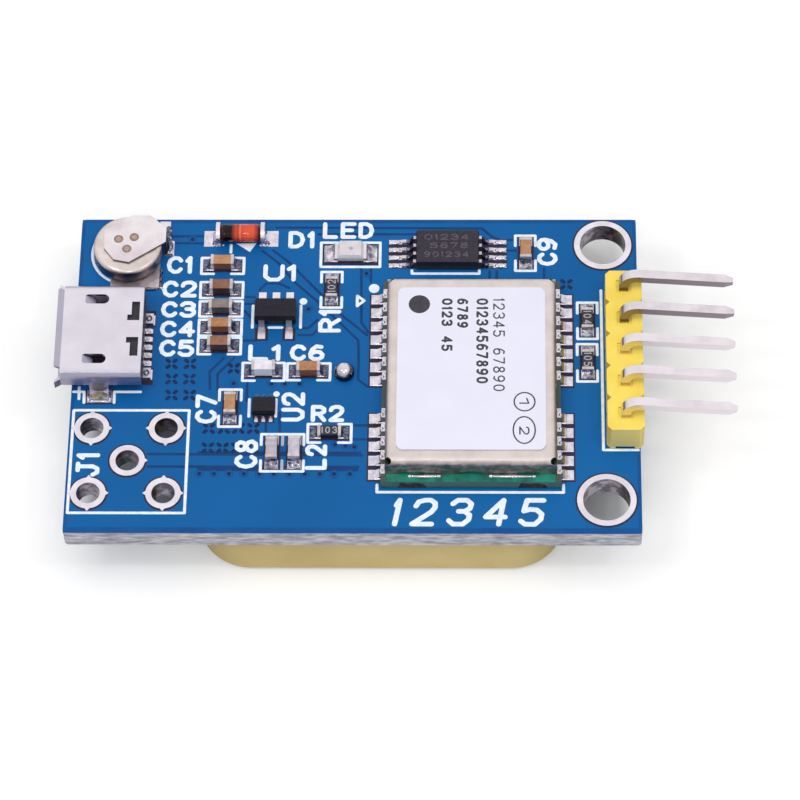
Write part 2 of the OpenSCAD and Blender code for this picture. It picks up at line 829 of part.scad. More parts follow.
// The shield is one folded sheet: a top, four bends that meet in relief holes, and walls on soldered feet
module receiver_shield() {
    bend_x = shield_w / 2 - shield_bend_r;
    bend_y = shield_l / 2 - shield_bend_r;
    bend_z = shield_h - shield_bend_r;
    corner_tilt = atan(sqrt(2));
    color("wheat") on_receiver_board([0, 0]) difference() {
        shield_form(0, shield_h);
        translate([0, 0, -cut]) shield_form(shield_t, shield_h - shield_t + cut);
        for (x = [-1, 1], y = [-1, 1]) translate([x * bend_x, y * bend_y, bend_z])
            rotate(atan2(y, x)) rotate([0, corner_tilt, 0])
                cylinder(d = shield_relief_d, h = 2 * shield_bend_r);
        for (i = [0:side_gaps - 1])
            translate([0, (i - (side_gaps - 1) / 2) * shield_l / side_gaps, -cut])
                upright(shield_w + 2 * cut, shield_gap_w, cut + shield_gap_h);
        for (i = [0:end_gaps - 1])
            translate([(i - (end_gaps - 1) / 2) * end_gap_pitch, 0, -cut])
                upright(shield_gap_w, shield_l + 2 * cut, cut + shield_gap_h);
    }
}

module receiver_label() {
    color("white") translate([receiver_x, receiver_y, shield_top]) linear_extrude(label_t)
        rounded_rect(shield_w - 2 * label_margin_x, shield_l - 2 * label_margin_y, label_corner_r);
}

// USB socket, drawn from the middle of its mouth with +X pointing into it

// Outline of the shell's section set in by a distance: round upper corners, slanted lower corners
module usb_outline(inset) {
    half = usb_w / 2 - inset;
    high = usb_h - inset;
    r = usb_corner_r - inset;
    slant = usb_slant - inset * (2 - sqrt(2));
    polygon([
        [-half + slant, inset], [half - slant, inset], [half, inset + slant], [half, high - r],
        [half - r, high], [-half + r, high], [-half, high - r], [-half, inset + slant]
    ]);
    for (side = [-1, 1]) translate([side * (half - r), high - r]) circle(r);
}

module usb_section(l, inset) {
    rotate([90, 0, 90]) linear_extrude(l) usb_outline(inset);
}

// A flared lip along Y that leans outwards, towards +Z, as it leaves the mouth
module usb_lip(l) {
    rotate([90, 0, 0]) translate([0, 0, -l / 2]) linear_extrude(l) polygon([
        [0, 0], [0, -usb_wall], [-usb_lip_l, usb_lip_flare - usb_wall], [-usb_lip_l, usb_lip_flare]
    ]);
}

// A spring finger cut from the top sheet: it hangs from the mouth end of its slot and dips inside
module usb_finger() {
    rotate([90, 0, 0]) translate([0, 0, -usb_finger_w / 2]) linear_extrude(usb_finger_w) polygon([
        [-usb_wall, 0], [usb_wall / 2, 0], [usb_finger_l, -usb_finger_dip],
        [usb_finger_l, -usb_finger_dip - usb_wall], [usb_wall / 2, -usb_wall], [-usb_wall, -usb_wall]
    ]);
}

// A side tab that goes straight down from the shell and turns out along its pad
module usb_tab() {
    rotate([90, 0, 90]) translate([0, 0, -usb_tab_w / 2]) linear_extrude(usb_tab_w) polygon([
        [-usb_wall, 0], [usb_tab_reach, 0], [usb_tab_reach, usb_wall], [0, usb_wall],
        [0, usb_slant + usb_wall], [-usb_wall, usb_slant + usb_wall]
    ]);
}

module usb_shell() {
    side_lip = usb_h - usb_corner_r - usb_slant;
    window_w = (usb_contacts - 1) * usb_pitch + usb_contact_w + 2 * usb_contact_gap;
    color("silver") place(usb_at) {
        difference() {
            usb_section(usb_l, 0);
            translate([-cut, 0, 0]) usb_section(usb_l + 2 * cut, usb_wall);
            for (side = [0, 1]) mirror([0, side, 0]) translate([0, 0, usb_h - 2 * usb_wall]) {
                translate([usb_slot_start, usb_slot_y, 0])
                    linear_extrude(3 * usb_wall) round_slot(usb_slot_l, usb_slot_w);
                translate([usb_l - usb_lock_edge - usb_lock_w, usb_lock_y, 0])
                    cube([usb_lock_w, usb_lock_l, 3 * usb_wall]);
                translate([usb_l - usb_lock_edge - usb_lock_w - usb_lock_foot, usb_lock_y, 0])
                    cube([usb_lock_w, usb_lock_foot_l, 3 * usb_wall]);
            }
            translate([usb_l, 0, -cut])
                upright(2 * usb_block_l, window_w, cut + usb_wall + usb_contact_gap);
        }
        for (side = [0, 1]) mirror([0, side, 0]) {
            translate([usb_slot_start, usb_slot_y, usb_h]) usb_finger();
            translate([usb_tab_x, usb_w / 2, 0]) usb_tab();
            translate([0, usb_w / 2, usb_slant + side_lip / 2]) rotate([-90, 0, 0]) usb_lip(side_lip);
            translate([usb_l - usb_wall, usb_rear_foot_y - usb_rear_foot_w / 2, 0])
                cube([usb_wall + usb_rear_foot_l, usb_rear_foot_w, usb_wall]);
        }
        translate([0, 0, usb_h]) usb_lip(usb_w - 2 * usb_corner_r);
        mirror([0, 0, 1]) usb_lip(usb_w - 2 * usb_slant);
    }
}

// The five contacts lie under the tongue, go down the back of the block and turn out on their pads
module usb_contact_solids() {
    start = usb_l - usb_block_l - usb_tongue_l + usb_contact_set;
    for (y = usb_contact_ys) translate([0, y + usb_contact_w / 2, 0]) rotate([90, 0, 0])
        linear_extrude(usb_contact_w) polygon([
            [start, usb_tongue_z], [usb_l, usb_tongue_z], [usb_l, usb_contact_t],
            [usb_l + usb_contact_foot, usb_contact_t], [usb_l + usb_contact_foot, 0],
            [usb_l - usb_contact_t, 0], [usb_l - usb_contact_t, usb_tongue_z - usb_contact_t],
            [start, usb_tongue_z - usb_contact_t]
        ]);
}

module usb_insulator() {
    color("dimgray") place(usb_at) difference() {
        union() {
            translate([usb_l - usb_block_l, 0, 0]) usb_section(usb_block_l, usb_wall);
            translate([usb_l - usb_block_l - usb_tongue_l, -usb_tongue_w / 2, usb_tongue_z])
                cube([usb_tongue_l, usb_tongue_w, usb_tongue_t]);
        }
        usb_contact_solids();
    }
}

module usb_contact_row() {
    color("gold") place(usb_at) usb_contact_solids();
}

// Backup cell

// A crimped can: the smaller cap is below and the rounded can above
module battery_cell() {
    r = cell_d / 2;
    edge = r - cell_edge_r;
    color("lightgray") place(cell_at) translate([0, 0, tab_t]) rotate_extrude() {
        polygon([
            [0, 0], [r - cell_cap_set, 0], [r - cell_cap_set, cell_crimp_z], [r - cell_crimp, cell_crimp_z],
            [r, cell_crimp_z + cell_crimp], [r, cell_h - cell_edge_r], [edge, cell_h], [0, cell_h]
        ]);
        translate([edge, cell_h - cell_edge_r]) circle(cell_edge_r);
    }
}

// A plate welded on the can, with a leg that goes down past the edge of the cell to its pad
module battery_top_tab() {
    leg_end = top_tab_leg_x + tab_t;
    leg_front = top_tab_leg_y - top_tab_leg_w / 2;
    color("silver") place(cell_at) {
        translate([0, 0, tab_t + cell_h]) linear_extrude(tab_t) polygon(concat(
            top_tab_front, [[leg_end, leg_front], [leg_end, leg_front + top_tab_leg_w]], top_tab_back
        ));
        translate([top_tab_leg_x, leg_front, 0]) {
            cube([tab_t, top_tab_leg_w, tab_t + cell_h]);
            cube([tab_t + top_tab_foot, top_tab_leg_w, tab_t]);
        }
    }
}

module battery_bottom_tab() {
    color("silver") place(cell_at) translate([bottom_tab_shift - bottom_tab_w / 2, -bottom_tab_reach, 0])
        cube([bottom_tab_w, bottom_tab_reach + bottom_tab_under, tab_t]);
}

// Diode, drawn along Z about its middle and laid down along X

module lay_diode() {
    place(diode_at) translate([0, 0, diode_cap_d / 2]) rotate([0, 90, 0]) children();
}

module diode_glass() {
    r = diode_glass_d / 2;
    half = diode_glass_l / 2;
    edge = half - diode_glass_edge;
    stud_r = diode_stud_d / 2;
    color("orangered") lay_diode() rotate_extrude() difference() {
        union() {
            polygon([
                [0, -half], [r - diode_glass_edge, -half], [r, -edge],
                [r, edge], [r - diode_glass_edge, half], [0, half]
            ]);
            for (side = [-1, 1]) translate([r - diode_glass_edge, side * edge]) circle(diode_glass_edge);
        }
        translate([-r, -diode_glass_l]) square([r + stud_r, 2 * diode_glass_l]);
    }
}

// Each end cap is a disc with a stud that runs into the glass, almost to the other stud
module diode_caps() {
    color("silver") lay_diode() for (turn = [0, 180]) rotate([turn, 0, 0]) {
        translate([0, 0, diode_glass_l / 2]) cylinder(d = diode_cap_d, h = diode_cap_t);
        translate([0, 0, diode_stud_gap / 2])
            cylinder(d = diode_stud_d, h = (diode_glass_l - diode_stud_gap) / 2);
    }
}

// Pin header

// One octagonal link of the breakaway housing
module housing_link() {
    x = header_w / 2;
    y = header_pitch / 2;
    linear_extrude(header_h) polygon([
        [-x + link_cut, -y], [x - link_cut, -y], [x, -y + link_cut], [x, y - link_cut],
        [x - link_cut, y], [-x + link_cut, y], [-x, y - link_cut], [-x, -y + link_cut]
    ]);
}

module header_housing() {
    color("gold") translate([header_x, 0, seat_z]) difference() {
        for (y = pin_ys) translate([0, y, 0]) housing_link();
        for (y = pin_ys) translate([0, y, 0]) {
            translate([0, 0, -cut]) upright(pin_side, pin_side, header_h + 2 * cut);
            translate([0, 0, header_h - pocket_depth]) upright(pocket_side, pocket_side, cut);
        }
        translate([0, header_y, -cut])
            upright(channel_w, (pin_count + 1) * header_pitch, cut + channel_depth);
    }
}

// The straight arm of a pin along X, with its tip tapered both ways
module pin_arm() {
    s = pin_side / 2;
    tip = pin_tip_side / 2;
    outline = [
        [0, -s], [pin_reach - pin_tip_l, -s], [pin_reach, -tip],
        [pin_reach, tip], [pin_reach - pin_tip_l, s], [0, s]
    ];
    intersection() {
        translate([0, 0, -s]) linear_extrude(pin_side) polygon(outline);
        rotate([90, 0, 0]) translate([0, 0, -s]) linear_extrude(pin_side) polygon(outline);
    }
}

// A square pin: a tail through the board, a bend above the housing and an arm over the board's edge
module header_pin(y) {
    bend_z = seat_z + header_h + pin_rise;
    tail_z = board_z - pin_tail;
    color("gainsboro") translate([header_x, y, 0]) {
        translate([0, 0, tail_z]) upright(pin_side, pin_side, bend_z - tail_z);
        translate([pin_bend_r, 0, bend_z]) {
            rotate([90, 0, 0]) rotate(90 - pin_droop) rotate_extrude(angle = 90 + pin_droop)
                translate([pin_bend_r - pin_side / 2, -pin_side / 2]) square(pin_side);
            rotate([0, pin_droop, 0]) translate([0, 0, pin_bend_r]) pin_arm();
        }
    }
}

module header_solder() {
    color("silver") for (y = pin_ys)
        translate([header_x, y, board_z - plating_t - header_solder_h]) difference() {
            cylinder(d1 = header_solder_tip_d, d2 = pin_ring_d, h = header_solder_h);
            translate([0, 0, -cut]) upright(pin_side, pin_side, header_solder_h + 2 * cut);
        }
}

// Light-emitting diode

module led_base() {
    color("whitesmoke") place(led_at)
        upright(led_l - 2 * chip_end_t, led_w - 2 * chip_end_t, led_base_h - chip_end_t);
}

module led_lens() {
    foot = led_l / 2 - led_terminal_l;
    color("ivory") place(led_at) translate([0, 0, led_base_h - chip_end_t]) rotate([90, 0, 0])
        translate([0, 0, -(led_w - 2 * chip_end_t) / 2]) linear_extrude(led_w - 2 * chip_end_t) polygon([
            [-foot, 0], [foot, 0], [foot - led_lens_slope, led_lens_h], [-foot + led_lens_slope, led_lens_h]
        ]);
}

module led_terminals() {
    color("silver") place(led_at) difference() {
        both_ends() translate([led_l / 2 - led_terminal_l, -led_w / 2, 0])
            cube([led_terminal_l, led_w, led_base_h]);
        upright(led_l - 2 * chip_end_t, led_w - 2 * chip_end_t, led_base_h - chip_end_t);
    }
}

// Moulded packages

module regulator_body() {
    color("darkslategray") place(regulator_at)
        moulded_body(regulator_l, regulator_d, regulator_h - body_lift, body_lift);
}

module regulator_leads() {
    color("silver") place(regulator_at) regulator_sides()
        gull_lead(regulator_d / 2, regulator_span / 2, (regulator_h + body_lift) / 2, lead_t,
            regulator_foot, regulator_lead_w);
}

module memory_body() {
    color("darkslategray") place(memory_at)
        moulded_body(memory_l, memory_d, memory_h - body_lift, body_lift);
}

module memory_leads() {
    color("silver") place(memory_at) memory_sides()
        gull_lead(memory_l / 2, memory_span / 2, (memory_h + body_lift) / 2, lead_t,
            memory_foot, memory_lead_w);
}

module amplifier_body() {
    color("darkslategray") place(amplifier_at) moulded_body(amplifier_l, amplifier_d, amplifier_h, 0);
}

module amplifier_leads() {
    color("silver") place(amplifier_at) amplifier_sides()
        translate([amplifier_d / 2, -amplifier_lead_w / 2, 0])
        cube([(amplifier_span - amplifier_d) / 2, amplifier_lead_w, lead_t]);
}

// Two-terminal chips

// The ceramic of a chip, inside its tinned ends
module chip_core(h) {
    translate([0, 0, chip_end_t])
        upright(chip_l - 2 * chip_end_t, chip_w - 2 * chip_end_t, h - 2 * chip_end_t);
}

module chip_ends() {
    color("silver") for (chip = all_chips) place(chip[0]) difference() {
        both_ends() translate([chip_l / 2 - chip_end_l, -chip_w / 2, 0])
            cube([chip_end_l, chip_w, chip[1]]);
        chip_core(chip[1]);
    }
}

module capacitor(i) {
    color("peru") place(capacitor_at[i]) chip_core(capacitor_h);
}

module inductor(i) {
    color("lavender") place(inductor_at[i]) chip_core(inductor_h);
}

module resistor(i) {
    color("black") place(resistor_at[i]) chip_core(resistor_h);
}

// Drawing

board();
mounting_rings();
plated_rings();
component_pads();
solder_fillets();
antenna_patch();
antenna_ceramic();
antenna_ground();
antenna_tape();
antenna_pin();
feed_solder();
receiver_board();
receiver_chip();
receiver_oscillator();
receiver_filter();
receiver_passives();
receiver_shield();
receiver_label();
usb_shell();
usb_insulator();
usb_contact_row();
battery_cell();
battery_top_tab();
battery_bottom_tab();
diode_glass();
diode_caps();
header_housing();
header_solder();
led_base();
led_lens();
led_terminals();
regulator_body();
regulator_leads();
memory_body();
memory_leads();
amplifier_body();
amplifier_leads();
chip_ends();
for (i = [0:pin_count - 1])
    header_pin(pin_ys[i]);
for (i = [0:len(capacitor_at) - 1])
    capacitor(i);
for (i = [0:len(inductor_at) - 1])
    inductor(i);
for (i = [0:len(resistor_at) - 1])
    resistor(i);
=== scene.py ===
import math

import bpy
from mathutils import Matrix, Vector


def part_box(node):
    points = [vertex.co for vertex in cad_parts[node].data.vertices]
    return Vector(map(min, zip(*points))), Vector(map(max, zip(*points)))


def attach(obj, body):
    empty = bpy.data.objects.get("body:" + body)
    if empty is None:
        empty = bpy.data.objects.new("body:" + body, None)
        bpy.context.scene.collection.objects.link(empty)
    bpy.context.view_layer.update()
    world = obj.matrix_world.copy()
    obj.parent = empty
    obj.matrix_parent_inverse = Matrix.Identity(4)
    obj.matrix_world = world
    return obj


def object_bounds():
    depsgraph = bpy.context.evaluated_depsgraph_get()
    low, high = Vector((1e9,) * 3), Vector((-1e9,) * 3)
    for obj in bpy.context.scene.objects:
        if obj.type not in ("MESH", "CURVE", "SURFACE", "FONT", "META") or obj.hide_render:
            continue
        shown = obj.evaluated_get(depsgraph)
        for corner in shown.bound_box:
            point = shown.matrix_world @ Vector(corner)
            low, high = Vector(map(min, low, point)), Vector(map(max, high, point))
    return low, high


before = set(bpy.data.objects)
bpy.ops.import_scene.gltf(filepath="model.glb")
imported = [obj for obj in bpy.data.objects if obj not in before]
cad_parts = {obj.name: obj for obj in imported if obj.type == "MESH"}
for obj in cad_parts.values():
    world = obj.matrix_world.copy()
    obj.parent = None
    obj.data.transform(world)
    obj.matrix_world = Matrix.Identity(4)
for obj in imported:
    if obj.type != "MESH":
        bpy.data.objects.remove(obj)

cad_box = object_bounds()

# The view. A long lens looks down on the board from the front, as for a catalogue picture.
# Its aim, distance and small turns were fitted to the header, antenna and receiver, whose sizes are standard.
mm = 0.001
board_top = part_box("board")[1][2] / mm
elevation, yaw, roll = (math.radians(turn) for turn in (59.06, -2.496, -2.065))
look = Vector((math.sin(yaw) * math.cos(elevation), math.cos(yaw) * math.cos(elevation), -math.sin(elevation)))
level = Vector((math.cos(yaw), -math.sin(yaw), 0))
upright = level.cross(look)
right = math.cos(roll) * level + math.sin(roll) * upright
up = math.cos(roll) * upright - math.sin(roll) * level
aim = Vector((3.09, -2.17, board_top)) * mm
distance = 266.9 * mm
turned = Matrix((right, up, -look)).transposed().to_4x4()
camera = bpy.data.objects.new("camera", bpy.data.cameras.new("camera"))
camera.data.lens = 175.74
camera.data.sensor_width = 36
camera.data.clip_start = 0.01
camera.matrix_world = Matrix.Translation(aim - distance * look) @ turned
bpy.context.collection.objects.link(camera)
bpy.context.scene.camera = camera

# Main board. Glass cloth pressed in epoxy, 1.6 mm thick, with copper foil on both faces under a blue solder mask
# that is screened on wet, so it dries to a satin gloss with a slight orange peel. The sawn edge shows raw laminate.


def linear(code):
    """Linear colour of an sRGB hex code."""
    channels = [int(code[i:i + 2], 16) / 255 for i in (1, 3, 5)]
    return [c / 12.92 if c <= 0.04045 else ((c + 0.055) / 1.055) ** 2.4 for c in channels] + [1]


def node(tree, kind, sockets, **settings):
    """Adds a node, or takes one that is there, and sets or links its sockets."""
    made = tree.nodes.new(kind) if isinstance(kind, str) else kind
    for key, value in settings.items():
        setattr(made, key, value)
    for socket, value in sockets.items():
        if isinstance(value, bpy.types.NodeSocket):
            tree.links.new(value, made.inputs[socket])
        else:
            made.inputs[socket].default_value = value
    return made


def dress(material, *names):
    """Gives CAD nodes a material."""
    for name in names:
        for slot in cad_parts[name].material_slots:
            slot.link = "OBJECT"
            slot.material = material


# the mask gives a clear blue that drifts over centimetres, the sawn edge a pale, streaked grey
mask = bpy.data.materials.new("blue_solder_mask_on_glass_epoxy")
mask.use_nodes = True
tree = mask.node_tree
place = node(tree, "ShaderNodeTexCoord", {}).outputs
pour = node(tree, "ShaderNodeTexNoise", {"Vector": place["Object"], "Scale": 1 / (11 * mm), "Detail": 1})
wet = node(tree, "ShaderNodeMixRGB",
           {"Fac": pour.outputs["Fac"], "Color1": linear("#045290"), "Color2": linear("#0766AA")})
facing = node(tree, "ShaderNodeSeparateXYZ", {"Vector": place["Normal"]})
steep = node(tree, "ShaderNodeMath", {0: facing.outputs["Z"]}, operation="ABSOLUTE")
edge = node(tree, "ShaderNodeMath", {0: steep.outputs[0], 1: 0.5}, operation="LESS_THAN")
# cloth layers 0.25 mm thick, torn by the saw into tufts about 1 mm long
tuft, layer = 1.0 * mm, 0.25 * mm
streak_place = node(tree, "ShaderNodeMapping",
                    {"Vector": place["Object"], "Scale": (1 / tuft, 1 / tuft, 1 / layer)})
streak = node(tree, "ShaderNodeTexNoise", {"Vector": streak_place.outputs["Vector"], "Scale": 1, "Detail": 5})
spread = node(tree, "ShaderNodeMapRange", {"Value": streak.outputs["Fac"], "From Min": 0.3, "From Max": 0.7})
raw = node(tree, "ShaderNodeMixRGB",
           {"Fac": spread.outputs["Result"], "Color1": linear("#9997A9"), "Color2": linear("#E9E8EF")})
skin = node(tree, "ShaderNodeMixRGB", {"Fac": edge.outputs[0], "Color1": wet.outputs["Color"],
                                       "Color2": raw.outputs["Color"]})
rough = node(tree, "ShaderNodeMapRange", {"Value": edge.outputs[0], "To Min": 0.4, "To Max": 0.85})
peel = node(tree, "ShaderNodeTexNoise", {"Vector": place["Object"], "Scale": 1 / (0.5 * mm), "Detail": 2})
peel_bump = node(tree, "ShaderNodeBump", {"Height": peel.outputs["Fac"], "Distance": 0.004 * mm})
torn = node(tree, "ShaderNodeMath", {0: streak.outputs["Fac"], 1: edge.outputs[0]}, operation="MULTIPLY")
torn_bump = node(tree, "ShaderNodeBump", {"Height": torn.outputs[0], "Distance": 0.12 * mm,
                                          "Normal": peel_bump.outputs["Normal"]})
node(tree, tree.nodes["Principled BSDF"],
     {"Base Color": skin.outputs["Color"], "Roughness": rough.outputs["Result"],
      "Normal": torn_bump.outputs["Normal"], "IOR": 1.52, "Specular IOR Level": 0.2})
dress(mask, "board")

# Copper pattern. The foil under the mask is etched away along its traces and round its through holes, so the mask
# lies lower and looks darker there. The etched lines are about 0.2 mm wide and a via is a 0.3 mm tented hole.


def sheet(name, points, faces, material, slot, smooth=False):
    """A thin piece that rides on the module, from points in mm."""
    mesh = bpy.data.meshes.new(name)
    mesh.from_pydata([Vector(p) * mm for p in points], [], faces)
    mesh.materials.append(material)
    if smooth:
        mesh.shade_smooth()
    piece = bpy.data.objects.new(name, mesh)
    bpy.context.collection.objects.link(piece)
    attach(piece, "root")
    return piece


def strokes(lines, width, low, crown):
    """Points and faces of round-ended lines, crowned along their middle as ink or mask dries."""
    points, faces, half, turns = [], [], width / 2, 12
    for line in lines:
        for (x0, y0), (x1, y1) in zip(line, line[1:]):
            run = math.hypot(x1 - x0, y1 - y0)
            nx, ny = (y0 - y1) / run * half, (x1 - x0) / run * half
            i = len(points)
            points += [(x0 + nx, y0 + ny, low), (x0, y0, low + crown), (x0 - nx, y0 - ny, low),
                       (x1 + nx, y1 + ny, low), (x1, y1, low + crown), (x1 - nx, y1 - ny, low)]
            faces += [(i + 1, i + 4, i + 3, i), (i + 2, i + 5, i + 4, i + 1)]
        for x, y in line:
            i = len(points)
            points += [(x, y, low + crown)]
            points += [(x + half * math.cos(k * math.tau / turns), y + half * math.sin(k * math.tau / turns), low)
                       for k in range(turns)]
            faces += [(i, i + 1 + k, i + 1 + (k + 1) % turns) for k in range(turns)]
    return points, faces


def arc(x, y, rx, ry, start, end, steps):
    """Points along part of an ellipse, with its angles in degrees."""
    angles = [math.radians(start + (end - start) * k / steps) for k in range(steps + 1)]
    return [(x + rx * math.cos(a), y + ry * math.sin(a)) for a in angles]


def areas(outlines, height):
    """Points and faces of flat areas."""
    points, faces = [], []
    for outline in outlines:
        faces.append(range(len(points), len(points) + len(outline)))
        points += [(x, y, height) for x, y in outline]
    return points, faces


def rect(x0, y0, x1, y1):
    """Outline of a rectangle between two corners."""
    return [(x0, y0), (x1, y0), (x1, y1), (x0, y1)]


def material(name, pale, deep, grain, rough, relief, metallic=0.0, ior=1.5):
    """A finish whose two tones drift over a grain in mm, with a relief in mm: gives it, its tree and its shader."""
    made = bpy.data.materials.new(name)
    made.use_nodes = True
    tree = made.node_tree
    place = node(tree, "ShaderNodeTexCoord", {}).outputs
    drift = node(tree, "ShaderNodeTexNoise", {"Vector": place["Object"], "Scale": 1 / (grain * mm), "Detail": 3})
    spread = node(tree, "ShaderNodeMapRange", {"Value": drift.outputs["Fac"], "From Min": 0.35, "From Max": 0.65})
    tone = node(tree, "ShaderNodeMixRGB",
                {"Fac": spread.outputs["Result"], "Color1": linear(deep), "Color2": linear(pale)})
    sheen = node(tree, "ShaderNodeMapRange",
                 {"Value": drift.outputs["Fac"], "To Min": rough * 1.3, "To Max": rough * 0.7})
    bump = node(tree, "ShaderNodeBump", {"Height": drift.outputs["Fac"], "Distance": relief * mm})
    shader = tree.nodes["Principled BSDF"]
    node(tree, shader, {"Base Color": tone.outputs["Color"], "Roughness": sheen.outputs["Result"],
                        "Normal": bump.outputs["Normal"], "Metallic": metallic, "IOR": ior})
    return made, tree, shader


# without bright copper under it the mask gives a darker, duller blue; in the narrow relief gaps and the via dimples
# it is darker still, as painted shade
etched, _, shader = material("solder_mask_over_etched_laminate", "#0B4079", "#08366A", 2.0, 0.4, 0.003, ior=1.52)
etched_with_gap_shade, _, gap_shade_shader = material("solder_mask_in_shadowed_gap", "#0B2C5C", "#08224A", 1.5, 0.4, 0.003,
                                       ior=1.52)
for gap_shader in (shader, gap_shade_shader):
    node(gap_shader.id_data, gap_shader, {"Specular IOR Level": 0.2})
copper_gaps = [
    [(-13.16, 11.19), (-10.83, 11.2)],
    [(-13.13, 10.61), (-10.9, 10.61)],
    [(-5.76, 11.93), (8.67, 11.86), (9.36, 11.17), (9.95, 10.9), (11.03, 10.9)],
    [(-2.79, 11.37), (4.05, 11.37)],
    [(10.34, 10.02), (11.03, 10.02)],
    [(-5.93, 10.02), (-4.79, 9.01), (-4.14, 8.25), (-2.73, 6.64), (-0.86, 4.5), (0.75, 3.04)],
    [(-6.69, 9.97), (-5.59, 9.01), (-4.34, 7.35), (-2.8, 5.85), (-0.94, 3.82), (0.14, 2.63), (0.21, 1.08),
     (0.2, -0.54), (0.82, -1.1)],
    [(0.26, 8.43), (0.34, 4.08), (0.84, 3.25)],
    [(0.93, 8.44), (0.94, 7.43)],
    [(-6.77, 6.69), (-6.68, 6.9), (-6.34, 7.27), (-5.45, 7.27), (-4.73, 6.9)],
    [(-7.86, 6.16), (-7.11, 6.16)],
    [(-7.84, 5.59), (-7.18, 5.59)],
    [(-7.78, 5.01), (-7.23, 4.38)],
    [(-4.11, 3.61), (-3.32, 3.61), (-2.71, 4.28)],
    [(-4.01, 3.04), (-3.04, 3.04), (-2.61, 3.56)],
    [(-7.9, 2.6), (-6.9, 2.6), (-6.4, 3.1)],
    [(-9.95, -1.34), (-10.01, 0.09), (-9.1, 1.15)],
    [(-9.43, -1.34), (-9.47, -0.11), (-8.36, 1.2)],
    [(-7.41, -0.75), (-7.4, -2.28)],
    [(-6.05, -3.6), (-6.02, -4.71)],
    [(-5.11, -3.19), (-5.06, -4.91)],
    [(-13.96, -6.47), (0.57, -6.55)],
    [(-13.92, -7.45), (0.33, -7.45)],
    [(-0.17, -4.2), (0.96, -4.19)],
    [(-0.15, -5.3), (0.89, -5.3)],
    [(9.2, 8.3), (9.2, 7.05)],
    [(9.7, 8.3), (9.7, 7.05)],
    [(13.0, 8.5), (13.0, 7.2)],
]
trace_width, trace_crown = 0.19, 0.002
sheet("etched_lines", *strokes(copper_gaps, trace_width, board_top + 0.004, trace_crown), etched, "blue_solder_mask")
board_low, board_high = (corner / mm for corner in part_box("board"))
# the foil stops short of the sawn edges
inset, front_strip, back_strip, side_strip = 0.02, 0.45, 0.3, 0.25
left_side, near = board_low.x + inset, board_low.y + inset
right_side, far = board_high.x - inset, board_high.y - inset
front_y, back_y = board_low.y + front_strip, board_high.y - back_strip
edge_strips = [
    rect(left_side, near, right_side, front_y),
    rect(left_side, back_y, right_side, far),
    rect(left_side, front_y, board_low.x + side_strip, back_y),
    rect(board_high.x - side_strip, front_y, right_side, back_y),
]
border, _, border_shader = material("solder_mask_over_bare_border", "#0A5494", "#08498A", 2.0, 0.4, 0.003,
                                    ior=1.52)
node(border_shader.id_data, border_shader, {"Specular IOR Level": 0.2})
sheet("etched_border", *areas(edge_strips, board_top + 0.002), border, "blue_solder_mask")
clearance = [rect(-10.6, -7.8, 0.35, -7.5), rect(-10.6, -6.5, 0.5, -6.25)]
sheet("etched_clearance", *areas(clearance, board_top + 0.002), etched, "blue_solder_mask")
row_vias = [(x, -8.01) for x in (-10.43, -9.43, -8.41, -7.4, -6.35, -5.36, -4.32, -3.29, -2.25, -1.3, -0.23)]
lone_vias = [(-1.27, -5.71), (-0.57, -5.81), (0.04, -5.9), (-5.74, -0.91), (-4.82, -0.9), (-3.82, -0.9),
             (-8.33, -0.86), (-11.62, 10.93), (0.62, 8.1), (-3.35, 5.17)]
relief_vias = [(-12.67, 0.71), (-11.39, 0.71), (-12.61, -0.52), (-11.39, -0.52), (-12.56, -1.8), (-11.33, -1.8),
               (-9.91, -4.45), (-8.87, -4.45), (-7.89, -4.45), (-6.87, -4.45), (-9.92, -5.98), (-8.92, -5.98),
               (-7.91, -5.98), (-6.87, -5.98), (-8.37, 0.35), (14.54, 7.22)]
petals = [[(x + u * 0.18, y + v * 0.18), (x + u * 0.3, y + v * 0.3)]
          for x, y in relief_vias for u in (-1, 1) for v in (-1, 1)]
via_z = board_top + 0.006
sheet("relief_gaps", *strokes(petals, 0.27, via_z, trace_crown), etched_with_gap_shade, "blue_solder_mask")
collars = [arc(x, y, 0.27, 0.27, 0, 360, 16) for x, y in row_vias + lone_vias]
sheet("via_collars", *strokes(collars, 0.1, via_z, trace_crown), border, "blue_solder_mask")
dimples = [arc(x, y, 0.15, 0.15, 0, 337.5, 15) for x, y in row_vias + lone_vias]
sheet("via_dimples", *areas(dimples, board_top + 0.009), etched_with_gap_shade, "blue_solder_mask")

# Mask openings. The mask stops a little short of every pad, and the bare laminate in that gap is darker. The
# openings, the whole footprint under each chip and a line round each plated ring are painted almost black: partly
# that darker laminate and partly painted shade from the solder and the parts.
opening, _, _ = material("bare_laminate_and_painted_shade_in_mask_opening", "#211C3A", "#14102A", 0.5, 0.6, 0.004)


def chip_spot(x, y, turned):
    """Opening round a chip and its two pads, which also covers the board under the chip with painted shade."""
    return rect(x - 0.55, y - 1.4, x + 0.55, y + 1.4) if turned else rect(x - 1.4, y - 0.55, x + 1.4, y + 0.55)


chip_spots = [(-9.42, 8.75, 0), (-9.42, 6.72, 0), (-9.42, 5.15, 0), (-9.42, 3.6, 0), (-9.42, 2.12, 0),
              (-3.22, 0.08, 0), (-6.3, 0.08, 0), (-1.68, -4.83, 0), (-8.5, -2.84, 1), (-5.56, -6.36, 1),
              (-4.03, -6.36, 1), (11.72, 9.77, 1), (-1.77, 6.75, 1), (15.95, 4.22, 1), (15.95, 0.82, 1)]
receiver_x, memory_x = 7.96, 6.27
openings = [chip_spot(*spot) for spot in chip_spots]
for side in (-1, 1):
    column_x = receiver_x + side * 6.53
    openings += [rect(column_x - 0.53, low, column_x + 0.53, high) for low, high in ((-1.2, 6.4), (-8.6, -3.2))]
    lead_x = memory_x + side * 3.1
    openings.append(rect(lead_x - 1.05, 8.52, lead_x + 1.05, 10.88))
